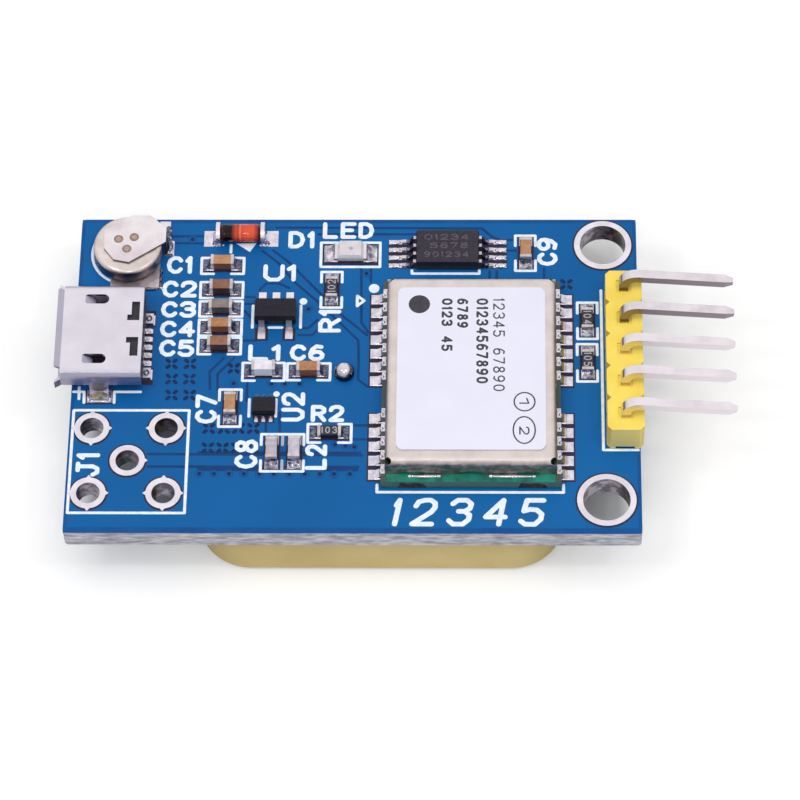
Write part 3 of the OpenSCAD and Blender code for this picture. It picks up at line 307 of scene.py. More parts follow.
# light-emitting diode, regulator, amplifier, USB contacts with their rear feet, USB tabs
openings += [
    rect(-2.5, 8.8, 1.47, 10.54),
    rect(-7.0, 2.58, -6.1, 3.6), rect(-5.1, 2.58, -4.2, 3.6),
    rect(-6.95, -4.0, -5.47, -3.45),
    rect(-14.6, 0.45, -14.02, 3.55), rect(-14.6, 3.65, -13.9, 5.0), rect(-14.6, -1.0, -13.9, 0.35),
    rect(-18.45, -2.55, -16.55, -1.4), rect(-18.45, 5.4, -16.55, 6.55),
]
opening_z = board_top + 0.011
sheet("mask_openings", *areas(openings, opening_z), opening, "blue_solder_mask")
# each plated hole by its middle and the radius of its ring
socket_x, socket_y, socket_ring, leg = -15.35, -7.0, 1.2, 2.54
collar_holes = [(17.1, 10.45, 2.0), (17.1, -10.0, 2.0), (socket_x, socket_y, socket_ring)]
collar_holes += [(socket_x + x, socket_y + y, socket_ring) for x in (-leg, leg) for y in (-leg, leg)]
ring_gaps = [arc(x, y, r + 0.04, r + 0.04, 0, 360, 48) for x, y, r in collar_holes]
sheet("ring_gaps", *strokes(ring_gaps, 0.17, opening_z, 0.001), opening, "blue_solder_mask")

# Legend. White epoxy ink, screened on through a stencil in lines 0.2 mm wide with round ends. It lies on the mask
# and is a little blue where it is thin. The reference marks are plain letters and numbers.
ink, _, _ = material("white_legend_ink", "#F4F8FF", "#DCEBFA", 0.4, 0.55, 0.006)
glyphs = {
    "0": [[(0.5, 1), (0.15, 0.9), (0, 0.65), (0, 0.35), (0.15, 0.1), (0.5, 0), (0.85, 0.1), (1, 0.35), (1, 0.65),
           (0.85, 0.9), (0.5, 1)]],
    "1": [[(0, 0.78), (0.75, 1), (0.75, 0)]],
    "2": [[(0, 0.75), (0.1, 0.93), (0.4, 1), (0.7, 1), (0.95, 0.88), (1, 0.7), (0.85, 0.5), (0, 0), (1, 0)]],
    "3": [[(0.02, 0.85), (0.25, 1), (0.7, 1), (0.97, 0.85), (0.95, 0.65), (0.7, 0.53), (0.4, 0.53)],
          [(0.7, 0.53), (1, 0.38), (1, 0.18), (0.75, 0), (0.25, 0), (0, 0.15)]],
    "4": [[(0.75, 0), (0.75, 1), (0, 0.3), (1, 0.3)]],
    "5": [[(0.95, 1), (0.1, 1), (0.05, 0.55), (0.35, 0.62), (0.7, 0.6), (1, 0.42), (1, 0.2), (0.75, 0), (0.25, 0),
           (0, 0.13)]],
    "6": [[(0.9, 0.95), (0.5, 1), (0.15, 0.75), (0, 0.4), (0.05, 0.15), (0.3, 0), (0.7, 0), (0.97, 0.15), (1, 0.35),
           (0.8, 0.55), (0.4, 0.57), (0.05, 0.4)]],
    "7": [[(0, 1), (1, 1), (0.35, 0)]],
    "8": [[(0.5, 0.53), (0.15, 0.65), (0.08, 0.83), (0.3, 1), (0.7, 1), (0.92, 0.83), (0.85, 0.65), (0.5, 0.53),
           (0.1, 0.4), (0, 0.2), (0.25, 0), (0.75, 0), (1, 0.2), (0.9, 0.4), (0.5, 0.53)]],
    "9": [[(0.1, 0.05), (0.5, 0), (0.85, 0.25), (1, 0.6), (0.95, 0.85), (0.7, 1), (0.3, 1), (0.03, 0.85), (0, 0.65),
           (0.2, 0.45), (0.6, 0.43), (0.95, 0.6)]],
    "C": [[(1, 0.8), (0.8, 0.97), (0.45, 1), (0.12, 0.82), (0, 0.5), (0.12, 0.18), (0.45, 0), (0.8, 0.03), (1, 0.2)]],
    "D": [[(0, 0), (0, 1), (0.5, 1), (0.85, 0.85), (1, 0.5), (0.85, 0.15), (0.5, 0), (0, 0)]],
    "E": [[(1, 1), (0, 1), (0, 0), (1, 0)], [(0, 0.52), (0.8, 0.52)]],
    "J": [[(0.4, 1), (1, 1)], [(0.75, 1), (0.75, 0.25), (0.55, 0), (0.2, 0), (0, 0.22)]],
    "L": [[(0, 1), (0, 0), (0.95, 0)]],
    "R": [[(0, 0), (0, 1), (0.65, 1), (0.97, 0.85), (0.97, 0.63), (0.65, 0.48), (0, 0.48)], [(0.5, 0.48), (1, 0)]],
    "U": [[(0, 1), (0, 0.25), (0.25, 0), (0.75, 0), (1, 0.25), (1, 1)]],
    " ": [],
}


def letters(text, x0, y0, x1, y1, turn, width, gap, slant=0.0):
    """Lines of a text that fills a box, read to the right, or turned to read up (90) or down (-90)."""
    run, rise = (x1 - x0, y1 - y0) if turn == 0 else (y1 - y0, x1 - x0)
    shares = [0.55 if sign == "1" else 1 for sign in text]
    unit = (run + gap) / sum(shares)
    lines, start = [], 0
    for sign, share in zip(text, shares):
        for line in glyphs[sign]:
            cell = [(start + width / 2 + u * (unit * share - gap - width) + slant * v * rise,
                     width / 2 + v * (rise - width)) for u, v in line]
            if turn == 0:
                lines.append([(x0 + u, y0 + v) for u, v in cell])
            elif turn == 90:
                lines.append([(x1 - v, y0 + u) for u, v in cell])
            else:
                lines.append([(x0 + v, y1 - u) for u, v in cell])
        start += unit * share
    return lines


def brackets(x0, y0, x1, y1, turned):
    """The two facing brackets round a chip."""
    if turned:
        arm = 0.29 * (y1 - y0)
        return [[(x0, y1 - arm), (x0, y1), (x1, y1), (x1, y1 - arm)],
                [(x0, y0 + arm), (x0, y0), (x1, y0), (x1, y0 + arm)]]
    arm = 0.29 * (x1 - x0)
    return [[(x0 + arm, y1), (x0, y1), (x0, y0), (x0 + arm, y0)],
            [(x1 - arm, y1), (x1, y1), (x1, y0), (x1 - arm, y0)]]


legend_lines = [
    [(-19.2, -3.03), (-11.3, -3.03), (-11.3, -11.06), (-19.2, -11.06), (-19.2, -3.03)],
    arc(-16.1, 9.72, 2.49, 2.49, 120, 260, 28),
    [(-19.3, -1.56), (-18.57, -1.56), (-18.54, -2.42)],
    [(-18.93, -1.2), (-18.9, -2.12)],
    [(-16.48, -2.42), (-16.5, -1.56), (-14.7, -1.56)],
    [(1.62, -8.85), (1.62, -9.42), (14.2, -9.42), (14.2, -8.85)],
    [(-7.2, 5.43), (-7.2, 3.65)], [(-3.87, 5.43), (-3.87, 3.65)], [(-6.05, 3.65), (-5.15, 3.65)],
    [(-7.21, -2.15), (-7.21, -3.5)], [(-5.38, -2.15), (-5.38, -3.5)],
    [(3.79, 8.35), (3.79, 8.09), (8.48, 8.09), (8.48, 8.35)],
    [(-2.58, 8.64), (1.55, 8.64), (1.55, 10.66), (-2.58, 10.66), (-2.58, 8.64)],
    [(16.93, 6.7), (16.93, -6.1), (19.3, -6.1)],
    [(-8.9, 10.45), (-8.9, 9.85)],
    [(0.02, 6.25), (0.02, 5.42), (0.5, 5.85), (0.02, 6.25)],
]
for x0, y0, x1, y1 in ((-10.9, 8.06, -7.95, 9.38), (-10.9, 6.06, -7.95, 7.37), (-10.9, 4.54, -7.95, 5.79),
                       (-10.9, 2.98, -7.95, 4.28), (-10.9, 1.48, -7.95, 2.82), (-7.75, -0.65, -4.89, 0.78),
                       (-4.68, -0.6, -1.74, 0.74), (-3.15, -5.56, -0.2, -4.1)):
    legend_lines += brackets(x0, y0, x1, y1, False)
for x0, y0, x1, y1 in ((-9.27, -4.31, -7.78, -1.37), (11.0, 8.33, 12.4, 11.25), (-6.3, -7.81, -4.85, -4.91),
                       (-4.85, -7.81, -3.4, -4.91), (-2.5, 5.28, -1.06, 8.22), (15.27, 2.75, 16.65, 5.7),
                       (15.23, -0.68, 16.6, 2.32)):
    legend_lines += brackets(x0, y0, x1, y1, True)
legend_z, ink_crown = board_top + 0.016, 0.008
sheet("legend_lines", *strokes(legend_lines, 0.2, legend_z, ink_crown), ink, "led_laminate")
legend_marks = [
    ("C1", -13.35, 8.06, -11.5, 9.54, 0), ("C2", -13.6, 6.1, -11.15, 7.5, 0), ("C3", -13.6, 4.45, -11.15, 5.8, 0),
    ("C4", -13.6, 2.85, -11.15, 4.2, 0), ("C5", -13.6, 1.27, -11.15, 2.66, 0), ("D1", -4.9, 10.18, -3.0, 11.63, 0),
    ("LED", -2.5, 10.98, 1.11, 12.38, 0), ("U1", -6.58, 7.43, -4.19, 8.85, 0), ("R1", -2.65, 3.25, -1.06, 5.17, 90),
    ("L1", -7.42, 0.94, -5.09, 2.28, 0), ("C6", -4.56, 0.94, -2.15, 2.28, 0), ("C7", -10.9, -4.08, -9.38, -1.75, 90),
    ("U2", -5.02, -3.9, -3.4, -1.57, 90), ("R2", -2.99, -3.94, -0.69, -2.58, 0),
    ("C8", -8.09, -7.61, -6.5, -5.32, 90),
    ("L2", -3.3, -7.7, -1.8, -5.7, 90), ("C9", 12.5, 8.74, 13.95, 11.08, 90), ("J1", -18.83, -8.25, -17.2, -6.36, 90),
]
mark_width, number_width = 0.31, 0.36
mark_lines = [line for mark in legend_marks for line in letters(*mark, mark_width, 0.14)]
sheet("legend_marks", *strokes(mark_lines, mark_width, legend_z, ink_crown), ink, "led_laminate")
number_lines = letters("12345", 2.5, -12.05, 12.75, -9.85, 0, number_width, 0.75, slant=0.16)
sheet("legend_numbers", *strokes(number_lines, number_width, legend_z, ink_crown), ink, "led_laminate")
legend_areas = [
    [(-8.56, 10.58), (-7.56, 9.87), (-7.12, 10.63)],
    arc(1.18, 6.85, 0.37, 0.37, 0, 345, 23),
    arc(-3.72, 5.78, 0.27, 0.27, 0, 345, 23),
    arc(-5.37, -1.72, 0.22, 0.22, 0, 345, 23),
]
sheet("legend_areas", *areas(legend_areas, board_top + 0.024), ink, "led_laminate")

# Plating and pads. Copper left open by the mask and tinned in a hot-air bath: a thin, bright skin of tin, slightly
# pink, with a soft mottle. The barrels of the holes are plated in one with their rings.
tin, _, _ = material("hot_air_levelled_tin", "#F1EAF1", "#DDD5DE", 0.9, 0.3, 0.004, metallic=1.0)
dress(tin, "component_pads")


def paint_side_shading(tree, shader, code, steep=0.0, spots=None):
    """Paints the faces of a finish that stand upright, or steeper than a given share, a tone of their own: painted
    shade where that tone is darker, painted light where it is paler.

    Spots of a second tone, 0.6 mm wide, may break it up.
    """
    normal = node(tree, "ShaderNodeSeparateXYZ", {"Vector": node(tree, "ShaderNodeTexCoord", {}).outputs["Normal"]})
    level = node(tree, "ShaderNodeMath", {0: normal.outputs["Z"]}, operation="ABSOLUTE")
    share = node(tree, "ShaderNodeMapRange", {"Value": level.outputs[0], "From Min": steep})
    tone = shader.inputs["Base Color"].links[0].from_socket
    deep = linear(code)
    if spots:
        place = node(tree, "ShaderNodeTexCoord", {}).outputs["Object"]
        drift = node(tree, "ShaderNodeTexNoise", {"Vector": place, "Scale": 1 / (0.6 * mm), "Detail": 2})
        patch = node(tree, "ShaderNodeMapRange", {"Value": drift.outputs["Fac"], "From Min": 0.42, "From Max": 0.62})
        deep = node(tree, "ShaderNodeMixRGB",
                    {"Fac": patch.outputs["Result"], "Color1": deep, "Color2": linear(spots)}).outputs["Color"]
    mixed = node(tree, "ShaderNodeMixRGB", {"Fac": share.outputs["Result"], "Color1": deep, "Color2": tone})
    node(tree, shader, {"Base Color": mixed.outputs["Color"]})


# the barrels are painted darker than the rings, as painted shade inside the holes, broken by lighter patches of
# painted reflection
shaded_barrel_tin, tree, shader = material("hot_air_levelled_tin_with_painted_shade_in_barrels", "#F1EAF1", "#E2DAE3", 0.9, 0.3, 0.004,
                                  metallic=1.0)
paint_side_shading(tree, shader, "#5E5864", spots="#A29CA6")
dress(shaded_barrel_tin, "mounting_rings", "plated_rings")

# Solder. Tin alloy that was printed as paste and melted in an oven, so it wets the pads in hollow, shiny ramps
# with small ripples. The joints of the header and the feed pin were made with an iron.
solder, _, _ = material("reflowed_solder", "#E8E2EA", "#C6C0CB", 0.5, 0.18, 0.008, metallic=1.0)
dress(solder, "solder_fillets")
# joints from the iron stand up as bright beads, and their steep foot is painted dark, as painted shade
iron_solder, tree, shader = material("solder_from_the_iron", "#EAE6EC", "#D0CBD4", 0.4, 0.14, 0.006, metallic=1.0)
paint_side_shading(tree, shader, "#3E3A46", steep=0.3)
dress(iron_solder, "header_solder", "feed_solder")

# the small joints are painted dark and grainy, a painted dark reflection, and their bumps catch bright points
painted_dark_solder, _, _ = material("grainy_solder_with_painted_dark_reflection", "#8C8CA0", "#343850", 0.16, 0.22, 0.05, metallic=1.0)


def ramps(ends, low):
    """Points and faces of hollow ramps, each given by a foot, its way out, its reach, rise and half width."""
    points, faces, steps = [], [], 8
    for x, y, dx, dy, reach, rise, half in ends:
        i = len(points)
        for k in range(steps + 1):
            out = reach * k / steps
            height = (rise + 0.02) * (1 - math.sqrt(1 - (1 - k / steps) ** 2)) + 0.012
            points += [(x + dx * out - dy * v, y + dy * out + dx * v, low + height) for v in (-half, half)]
        faces += [(i + 2 * k, i + 2 * k + 2, i + 2 * k + 3, i + 2 * k + 1) for k in range(steps)]
    return points, faces


pad_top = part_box("component_pads")[1][2] / mm
# heights of the chips' ends, in the order of chip_spots
capacitor, inductor, resistor = 0.48, 0.54, 0.27
chip_rises = [capacitor] * 6 + [inductor, resistor, capacitor, capacitor, inductor, capacitor] + [resistor] * 3
end_out, pad_reach, half_width = 0.8, 0.52, 0.42
chip_ramps, turned_ramps = [], []
for (x, y, turned), rise in zip(chip_spots, chip_rises):
    for way in (-1, 1):
        dx, dy = (0, way) if turned else (way, 0)
        joints = turned_ramps if turned else chip_ramps
        joints.append((x + dx * end_out, y + dy * end_out, dx, dy, pad_reach, rise, half_width))
# the amplifier's rear leads
amplifier_x = [-6.21 + 0.5 * k for k in (-1, 0, 1)]
chip_ramps += [(x, -2.06, 0, 1, 0.26, 0.1, 0.13) for x in amplifier_x]
sheet("chip_solder", *ramps(chip_ramps, pad_top), painted_dark_solder, "solder")
# on the chips that stand across the board it is coarser and brighter, and its dark tone is a painted dark reflection
# too
coarse_solder_with_painted_dark_reflection, _, _ = material("coarse_solder_with_painted_dark_reflection", "#C2BFCC", "#45475C", 0.22, 0.22, 0.05, metallic=1.0)
sheet("turned_chip_solder", *ramps(turned_ramps, pad_top), coarse_solder_with_painted_dark_reflection, "solder")

# Patch antenna. A block of sintered titanate ceramic, tan and matte, with a fired silver patch below, a silver
# ground film above, a double-sided tape to the board and a tinned feed pin.
ceramic, _, _ = material("sintered_antenna_ceramic", "#E4CD8B", "#DAC27F", 5.0, 0.6, 0.006)
silver, _, _ = material("fired_silver_film", "#E2DFD8", "#D0CCC4", 0.3, 0.45, 0.005, metallic=1.0)
tape, _, _ = material("acrylic_adhesive_tape", "#EAE6D8", "#D8D2C0", 1.5, 0.7, 0.01)
dress(ceramic, "antenna_ceramic")
dress(silver, "antenna_patch", "antenna_ground")
dress(tape, "antenna_tape")
dress(tin, "antenna_pin")

# Receiver. A small green board with plated notches along its edges, under a folded can of nickel silver sheet
# that is soldered down by its feet. A coated paper label covers most of the can's top.
green, tree, shader = material("green_solder_mask_on_glass_epoxy", "#17866F", "#0D5A4E", 0.8, 0.4, 0.01, ior=1.52)
receiver_low, receiver_high = (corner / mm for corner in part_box("receiver_board"))
shield_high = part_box("receiver_shield")[1] / mm
# the strips of board beside the can are painted dark, as painted shade between the can and its contacts
across = node(tree, "ShaderNodeSeparateXYZ", {"Vector": node(tree, "ShaderNodeTexCoord", {}).outputs["Object"]})
off_middle = node(tree, "ShaderNodeMath", {0: across.outputs["X"], 1: receiver_x * mm}, operation="SUBTRACT")
away = node(tree, "ShaderNodeMath", {0: off_middle.outputs[0]}, operation="ABSOLUTE")
beside = node(tree, "ShaderNodeMath", {0: away.outputs[0], 1: (shield_high.x - receiver_x - 0.1) * mm},
              operation="GREATER_THAN")
tone = shader.inputs["Base Color"].links[0].from_socket
painted_strip_shade = node(tree, "ShaderNodeMixRGB", {"Fac": beside.outputs[0], "Color1": tone, "Color2": linear("#3B4A40")})
node(tree, shader, {"Base Color": painted_strip_shade.outputs["Color"]})
# the board's upright sides are painted darker, as painted shade
paint_side_shading(tree, shader, "#3A665C")
dress(green, "receiver_board")
land_top = receiver_high.z + 0.006
contact_rows = [5.9 - 1.1 * i for i in range(7)] + [-8.1 + 1.1 * i for i in range(5)]
receiver_edges = ((receiver_low.x, 1), (receiver_high.x, -1))
lands = []
for y in contact_rows:
    for edge_x, inward in receiver_edges:
        notch = [(edge_x + inward * u, y + v) for u, v in arc(0, 0, 0.27, 0.27, 90, -90, 10)]
        outer = [(edge_x + inward * u, y + v) for u, v in ((0.02, -0.36), (0.33, -0.36), (0.33, 0.36), (0.02, 0.36))]
        lands.append((notch + outer)[::inward])
sheet("receiver_lands", *areas(lands, land_top), tin, "tinned_copper")


def domes(spots, low):
    """Points and faces of oval drops, each given by its place, its two radii and its height."""
    points, faces, turns, rings = [], [], 20, 4
    for x, y, rx, ry, height in spots:
        i = len(points)
        points.append((x, y, low + height))
        for ring in range(1, rings + 1):
            across, rise = math.sin(ring / rings * math.pi / 2), math.cos(ring / rings * math.pi / 2)
            oval = arc(x, y, rx * across, ry * across, 0, 360, turns)[:-1]
            points += [(u, v, low + height * rise) for u, v in oval]
        faces += [(i, i + 1 + k, i + 1 + (k + 1) % turns) for k in range(turns)]
        for inner in range(i + 1, i + 1 + (rings - 1) * turns, turns):
            faces += [(inner + k, inner + turns + k, inner + turns + (k + 1) % turns, inner + (k + 1) % turns)
                      for k in range(turns)]
    return points, faces


notch_lumps = [(edge_x + inward * 0.04, y - 0.12, 0.16, 0.15, 0.24) for y in contact_rows
               for edge_x, inward in receiver_edges]
sheet("notch_solder", *domes(notch_lumps, receiver_high.z - 0.16), tin, "solder", smooth=True)
seam_y = -8.64
seams = [(4.82, seam_y, 0.95, 0.13, 0.1), (10.74, seam_y, 1.4, 0.13, 0.1)]
seams += [(x, seam_y, 0.17, 0.15, 0.14) for x in (3.85, 5.8, 9.3, 12.2)]
sheet("shield_seams", *domes(seams, land_top), solder, "solder", smooth=True)
# two dark, rough marks are drawn on the front edge of the receiver board
dark_patch, _, _ = material("dark_edge_marks", "#3A3328", "#12191A", 0.25, 0.9, 0.08)
dark_patch_y = receiver_low.y - 0.004
dark_patch_outline = ((0.02, 0.02), (2.0, 0.02), (1.82, 0.5), (1.3, 0.66), (0.7, 0.58), (0.2, 0.68))
dark_patches = [(x0 + dx, dark_patch_y, receiver_low.z + dz) for x0 in (2.99, 11.13) for dx, dz in dark_patch_outline]
sheet("receiver_dark_patches", dark_patches, [range(6), range(6, 12)], dark_patch, "green_laminate")
black_epoxy, tree, shader = material("moulded_black_epoxy", "#1E1B25", "#15131B", 0.15, 0.6, 0.006)
node(tree, shader, {"Specular IOR Level": 0.3})
# the upright sides are painted darker, as painted shade
paint_side_shading(tree, shader, "#0B0A10")
dress(black_epoxy, "receiver_chip")
lid, _, _ = material("gold_plated_lid", "#D9B45A", "#B08A3C", 0.4, 0.3, 0.004, metallic=1.0)
dress(lid, "receiver_oscillator")
grey_ceramic, _, _ = material("grey_package_ceramic", "#9A9BA0", "#7E7F85", 0.3, 0.6, 0.004)
dress(grey_ceramic, "receiver_filter")
brown_ceramic, tree, shader = material("sintered_brown_dielectric", "#9A6C54", "#855943", 0.35, 0.5, 0.006)
# the upright sides are painted darker, as painted shade
paint_side_shading(tree, shader, "#54382C")
dress(brown_ceramic, "receiver_passives")

# satin sheet gives a warm, soft grey; its walls are painted darker, as painted shade broken by lighter patches
can, tree, shader = material("satin_nickel_silver_sheet", "#E2D7D4", "#D6CAC7", 1.4, 0.42, 0.004, metallic=1.0)
paint_side_shading(tree, shader, "#7C7773", steep=0.3, spots="#A9A09C")
dress(can, "receiver_shield")

paper, _, _ = material("coated_label_paper", "#EAE9F9", "#E7E6F6", 3.0, 0.5, 0.002)
dress(paper, "receiver_label")
label_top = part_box("receiver_label")[1][2] / mm
print_ink, _, _ = material("black_thermal_print", "#3E3942", "#322E37", 0.3, 0.6, 0.001)
sheet("label_dot", *areas([arc(4.39, 3.97, 0.73, 0.73, 0, 355, 71)], label_top + 0.006), print_ink, "moulded_epoxy")
bold_rows = [("0123 45", 5.92, 0.2, 6.68, 4.44), ("6789", 6.98, 2.06, 7.74, 4.44),
             ("01234567890", 8.3, -2.37, 9.12, 4.44)]
bold_lines = [line for row in bold_rows for line in letters(*row, -90, 0.16, 0.14)]
print_z, print_crown = label_top + 0.004, 0.003
sheet("label_numbers", *strokes(bold_lines, 0.16, print_z, print_crown), print_ink, "moulded_epoxy")
fine_lines = letters("12345 67890", 9.45, -2.98, 10.25, 4.44, -90, 0.1, 0.2)
fine_lines += letters("1", 11.2, -4.1, 11.9, -3.5, -90, 0.1, 0.1)
fine_lines += letters("2", 11.2, -6.4, 11.9, -5.75, -90, 0.1, 0.1)
fine_lines += [arc(11.57, -3.81, 0.7, 0.72, 0, 360, 40), arc(11.54, -6.03, 0.74, 1.04, 0, 360, 40)]
sheet("label_fine_print", *strokes(fine_lines, 0.1, print_z, print_crown), print_ink, "moulded_epoxy")

# USB socket. The shell is one strip of tin-plated steel, folded round a black moulded block whose tongue carries
# five gold-plated contacts. Its side tabs and rear feet are soldered to the board.
shell, tree, shader = material("tin_plated_steel_strip", "#E4DFE9", "#D8D3DE", 2.5, 0.3, 0.003, metallic=1.0)
# the shell's upright walls are painted a darker grey, as painted shade
paint_side_shading(tree, shader, "#A29DB0", steep=0.8)
dress(shell, "usb_shell")
black_nylon, _, _ = material("moulded_black_nylon", "#2A262E", "#1B191F", 0.3, 0.5, 0.006)
dress(black_nylon, "usb_insulator")
gold, tree, shader = material("gold_plated_contact_with_tinned_tail", "#DDB95E", "#B8923F", 0.5, 0.25, 0.003,
                              metallic=1.0)
along = node(tree, "ShaderNodeSeparateXYZ", {"Vector": node(tree, "ShaderNodeTexCoord", {}).outputs["Object"]})
tail_x = -15.2 * mm
tail = node(tree, "ShaderNodeMath", {0: along.outputs["X"], 1: tail_x}, operation="GREATER_THAN")
tone = shader.inputs["Base Color"].links[0].from_socket
plating = node(tree, "ShaderNodeMixRGB", {"Fac": tail.outputs[0], "Color1": tone, "Color2": linear("#F0EAEE")})
node(tree, shader, {"Base Color": plating.outputs["Color"]})
dress(gold, "usb_contact_row")

tab_x, usb_y = -17.5, 2
tab_drops = [(tab_x + way * 0.72, usb_y + side * 4.1, 0.14, 0.36, 0.2) for side in (-1, 1) for way in (-1, 1)]
tab_drops += [(tab_x, usb_y + side * 4.3, 0.8, 0.16, 0.14) for side in (-1, 1)]
sheet("usb_tab_solder", *domes(tab_drops, pad_top), solder, "solder", smooth=True)
flux, _, _ = material("dried_flux", "#9A937C", "#524E4C", 0.3, 0.2, 0.03)
strip_top = pad_top + 0.26
foot_curls = [arc(-14.33, usb_y + side * 2.2, 0.15, 0.19, 0, 360, 16) for side in (-1, 1)]
sheet("usb_foot_solder", *strokes(foot_curls, 0.13, strip_top - 0.006, 0.04), painted_dark_solder, "solder")
flux_spots = [(tab_x, usb_y + side * 4.03, 0.6, 0.31, 0.03) for side in (-1, 1)]
sheet("usb_tab_flux", *domes(flux_spots, strip_top), flux, "adhesive_tape", smooth=True)

# Backup cell. A drawn stainless can, crimped over its lower cap, between two nickel-plated tabs. The upper tab is
# held by three spot welds, which leave brown, slightly sunken dots.
can_steel, tree, shader = material("drawn_stainless_can", "#E8DCD8", "#D6C8C2", 0.9, 0.3, 0.004, metallic=1.0)
# the cell's upright side is painted dark, as painted shade
paint_side_shading(tree, shader, "#6A5F5F")
dress(can_steel, "battery_cell")
nickel, tree, shader = material("nickel_plated_tab", "#EFE6EA", "#DCD0D6", 1.4, 0.34, 0.005, metallic=1.0)
# the tab's thin edges are painted dark, as a painted shadow line
paint_side_shading(tree, shader, "#4E4446")
dress(nickel, "battery_top_tab")
# the lower tab is a darker copy of the nickel, as painted shade under the cell
shaded_nickel, _, _ = material("nickel_tab_with_painted_shade", "#E6DCDF", "#C2B7BB", 0.5, 0.4, 0.008, metallic=1.0)
dress(shaded_nickel, "battery_bottom_tab")
# solder along the lower tab and over the foot of the upper one, painted dark as painted reflection, with bright
# points in it
cell_joints = [(-13.72, y, 0.15, 0.26, 0.2) for y in (7.1, 7.6, 8.2)] + [(-14.5, 6.77, 0.75, 0.13, 0.16)]
cell_joints += [(-13.2, 10.25, 0.27, 0.68, 0.3), (-13.28, 11.0, 0.24, 0.5, 0.28), (-13.32, 11.6, 0.22, 0.4, 0.24)]
sheet("cell_tab_solder", *domes(cell_joints, pad_top), painted_dark_solder, "solder", smooth=True)
cell_drops = [(-13.66, 6.84, 0.15, 0.12, 0.18), (-17.12, 6.82, 0.2, 0.12, 0.16), (-13.16, 11.5, 0.1, 0.14, 0.31),
              (-13.14, 10.86, 0.1, 0.12, 0.34), (-13.12, 10.1, 0.12, 0.14, 0.36), (-13.26, 9.72, 0.1, 0.1, 0.32)]
sheet("cell_tab_drops", *domes(cell_drops, pad_top - 0.05), tin, "solder", smooth=True)
sheet("cell_pad", *areas([rect(-13.95, 11.3, -13.2, 12.42)], board_top + 0.02), tin, "tinned_copper")
weld, _, _ = material("heat_stained_weld", "#A0877C", "#7E6659", 0.15, 0.5, 0.01)
weld_core, _, _ = material("pressed_weld_centre", "#BBA79E", "#A08B80", 0.1, 0.45, 0.006)
tab_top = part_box("battery_top_tab")[1][2] / mm
welds = [(-16.63, 9.82), (-15.55, 9.97), (-16.02, 9.01)]
stains = [arc(x, y, 0.33, 0.33, 0, 345, 23) for x, y in welds]
centres = [arc(x, y, 0.19, 0.19, 0, 345, 23) for x, y in welds]
sheet("weld_stains", *areas(stains, tab_top + 0.004), weld, "nickel_tab")
sheet("weld_centres", *areas(centres, tab_top + 0.007), weld_core, "nickel_tab")

# Diode. A bead of sealing glass, orange-red with a black band at its left, between two tinned end caps.
bead = bpy.data.materials.new("sealing_glass_with_band")
bead.use_nodes = True
tree = bead.node_tree
place = node(tree, "ShaderNodeTexCoord", {}).outputs
along = node(tree, "ShaderNodeSeparateXYZ", {"Vector": place["Object"]})
bead_start, bead_end = -9.62 * mm, -6.78 * mm
share = node(tree, "ShaderNodeMapRange", {"Value": along.outputs["X"], "From Min": bead_start, "From Max": bead_end})
ramp = node(tree, "ShaderNodeValToRGB", {"Fac": share.outputs["Result"]})
bands = ramp.color_ramp
bands.elements[0].color = linear("#4A1A20")
bands.elements[1].color = linear("#3A141A")
# the pale band near the middle is a painted highlight where the glass is pinched, and the darker ends are painted
# shade where the bead rounds off
for spot, colour in ((0.08, "#2A0E16"), (0.15, "#160810"), (0.28, "#12060C"), (0.32, "#8E2A20"), (0.39, "#C64630"),
                     (0.46, "#B63C2C"), (0.49, "#EE8258"), (0.53, "#DC4A30"), (0.7, "#E45A38"), (0.82, "#DE5638"),
                     (0.9, "#A8342A"), (0.95, "#4E1A1E")):
    bands.elements.new(spot).color = linear(colour)
wave = node(tree, "ShaderNodeTexNoise", {"Vector": place["Object"], "Scale": 1 / (0.5 * mm), "Detail": 1})
uneven = node(tree, "ShaderNodeBump", {"Height": wave.outputs["Fac"], "Distance": 0.12 * mm})
node(tree, tree.nodes["Principled BSDF"], {"Base Color": ramp.outputs["Color"], "Roughness": 0.08, "IOR": 1.55,
                                           "Specular IOR Level": 0.2, "Normal": uneven.outputs["Normal"]})
dress(bead, "diode_glass")
dress(tin, "diode_caps")
cap_joints = [(-8.2 + way * 1.84, 10.86, 0.24, 0.5, 0.24) for way in (-1, 1)]
sheet("diode_solder", *domes(cap_joints, pad_top), painted_dark_solder, "solder", smooth=True)
cap_drops = [(x, 10.39, 0.1, 0.1, 0.12) for x in (-10.05, -9.45, -6.84, -6.38)]
sheet("diode_drops", *domes(cap_drops, pad_top), tin, "solder", smooth=True)

# Light-emitting diode. A white laminate base with tinned ends under a cast block of milky epoxy.
white_base, _, _ = material("white_laminate", "#D8D3D4", "#C6C0C2", 0.5, 0.5, 0.004)
dress(white_base, "led_base")
milky, tree, lens = material("cast_milky_epoxy", "#DFD8DD", "#D2CBD1", 0.6, 0.18, 0.004)
node(tree, lens, {"Coat Weight": 0.5, "Coat Roughness": 0.05})
# the lens's upright sides are painted paler, as painted light
paint_side_shading(tree, lens, "#FFFFFF")
dress(milky, "led_lens")
dress(tin, "led_terminals")
die, _, _ = material("die_seen_through_epoxy", "#B4AAAF", "#A0969C", 0.1, 0.3, 0.002)
lens_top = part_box("led_lens")[1][2] / mm
sheet("led_die", *areas([arc(-0.46, 9.66, 0.14, 0.13, 0, 345, 23)], lens_top + 0.003), die, "led_epoxy")
# the dark tone in this solder's mottle is a painted dark reflection
led_solder, _, _ = material("bright_flowed_solder", "#EAE4EC", "#6E687C", 0.55, 0.25, 0.03, metallic=1.0)
led_ramps = [(-0.5 + way * 1.1, 9.7, way, 0, 0.75, 0.35, 0.65) for way in (-1, 1)]
sheet("led_solder", *ramps(led_ramps, pad_top), led_solder, "solder")

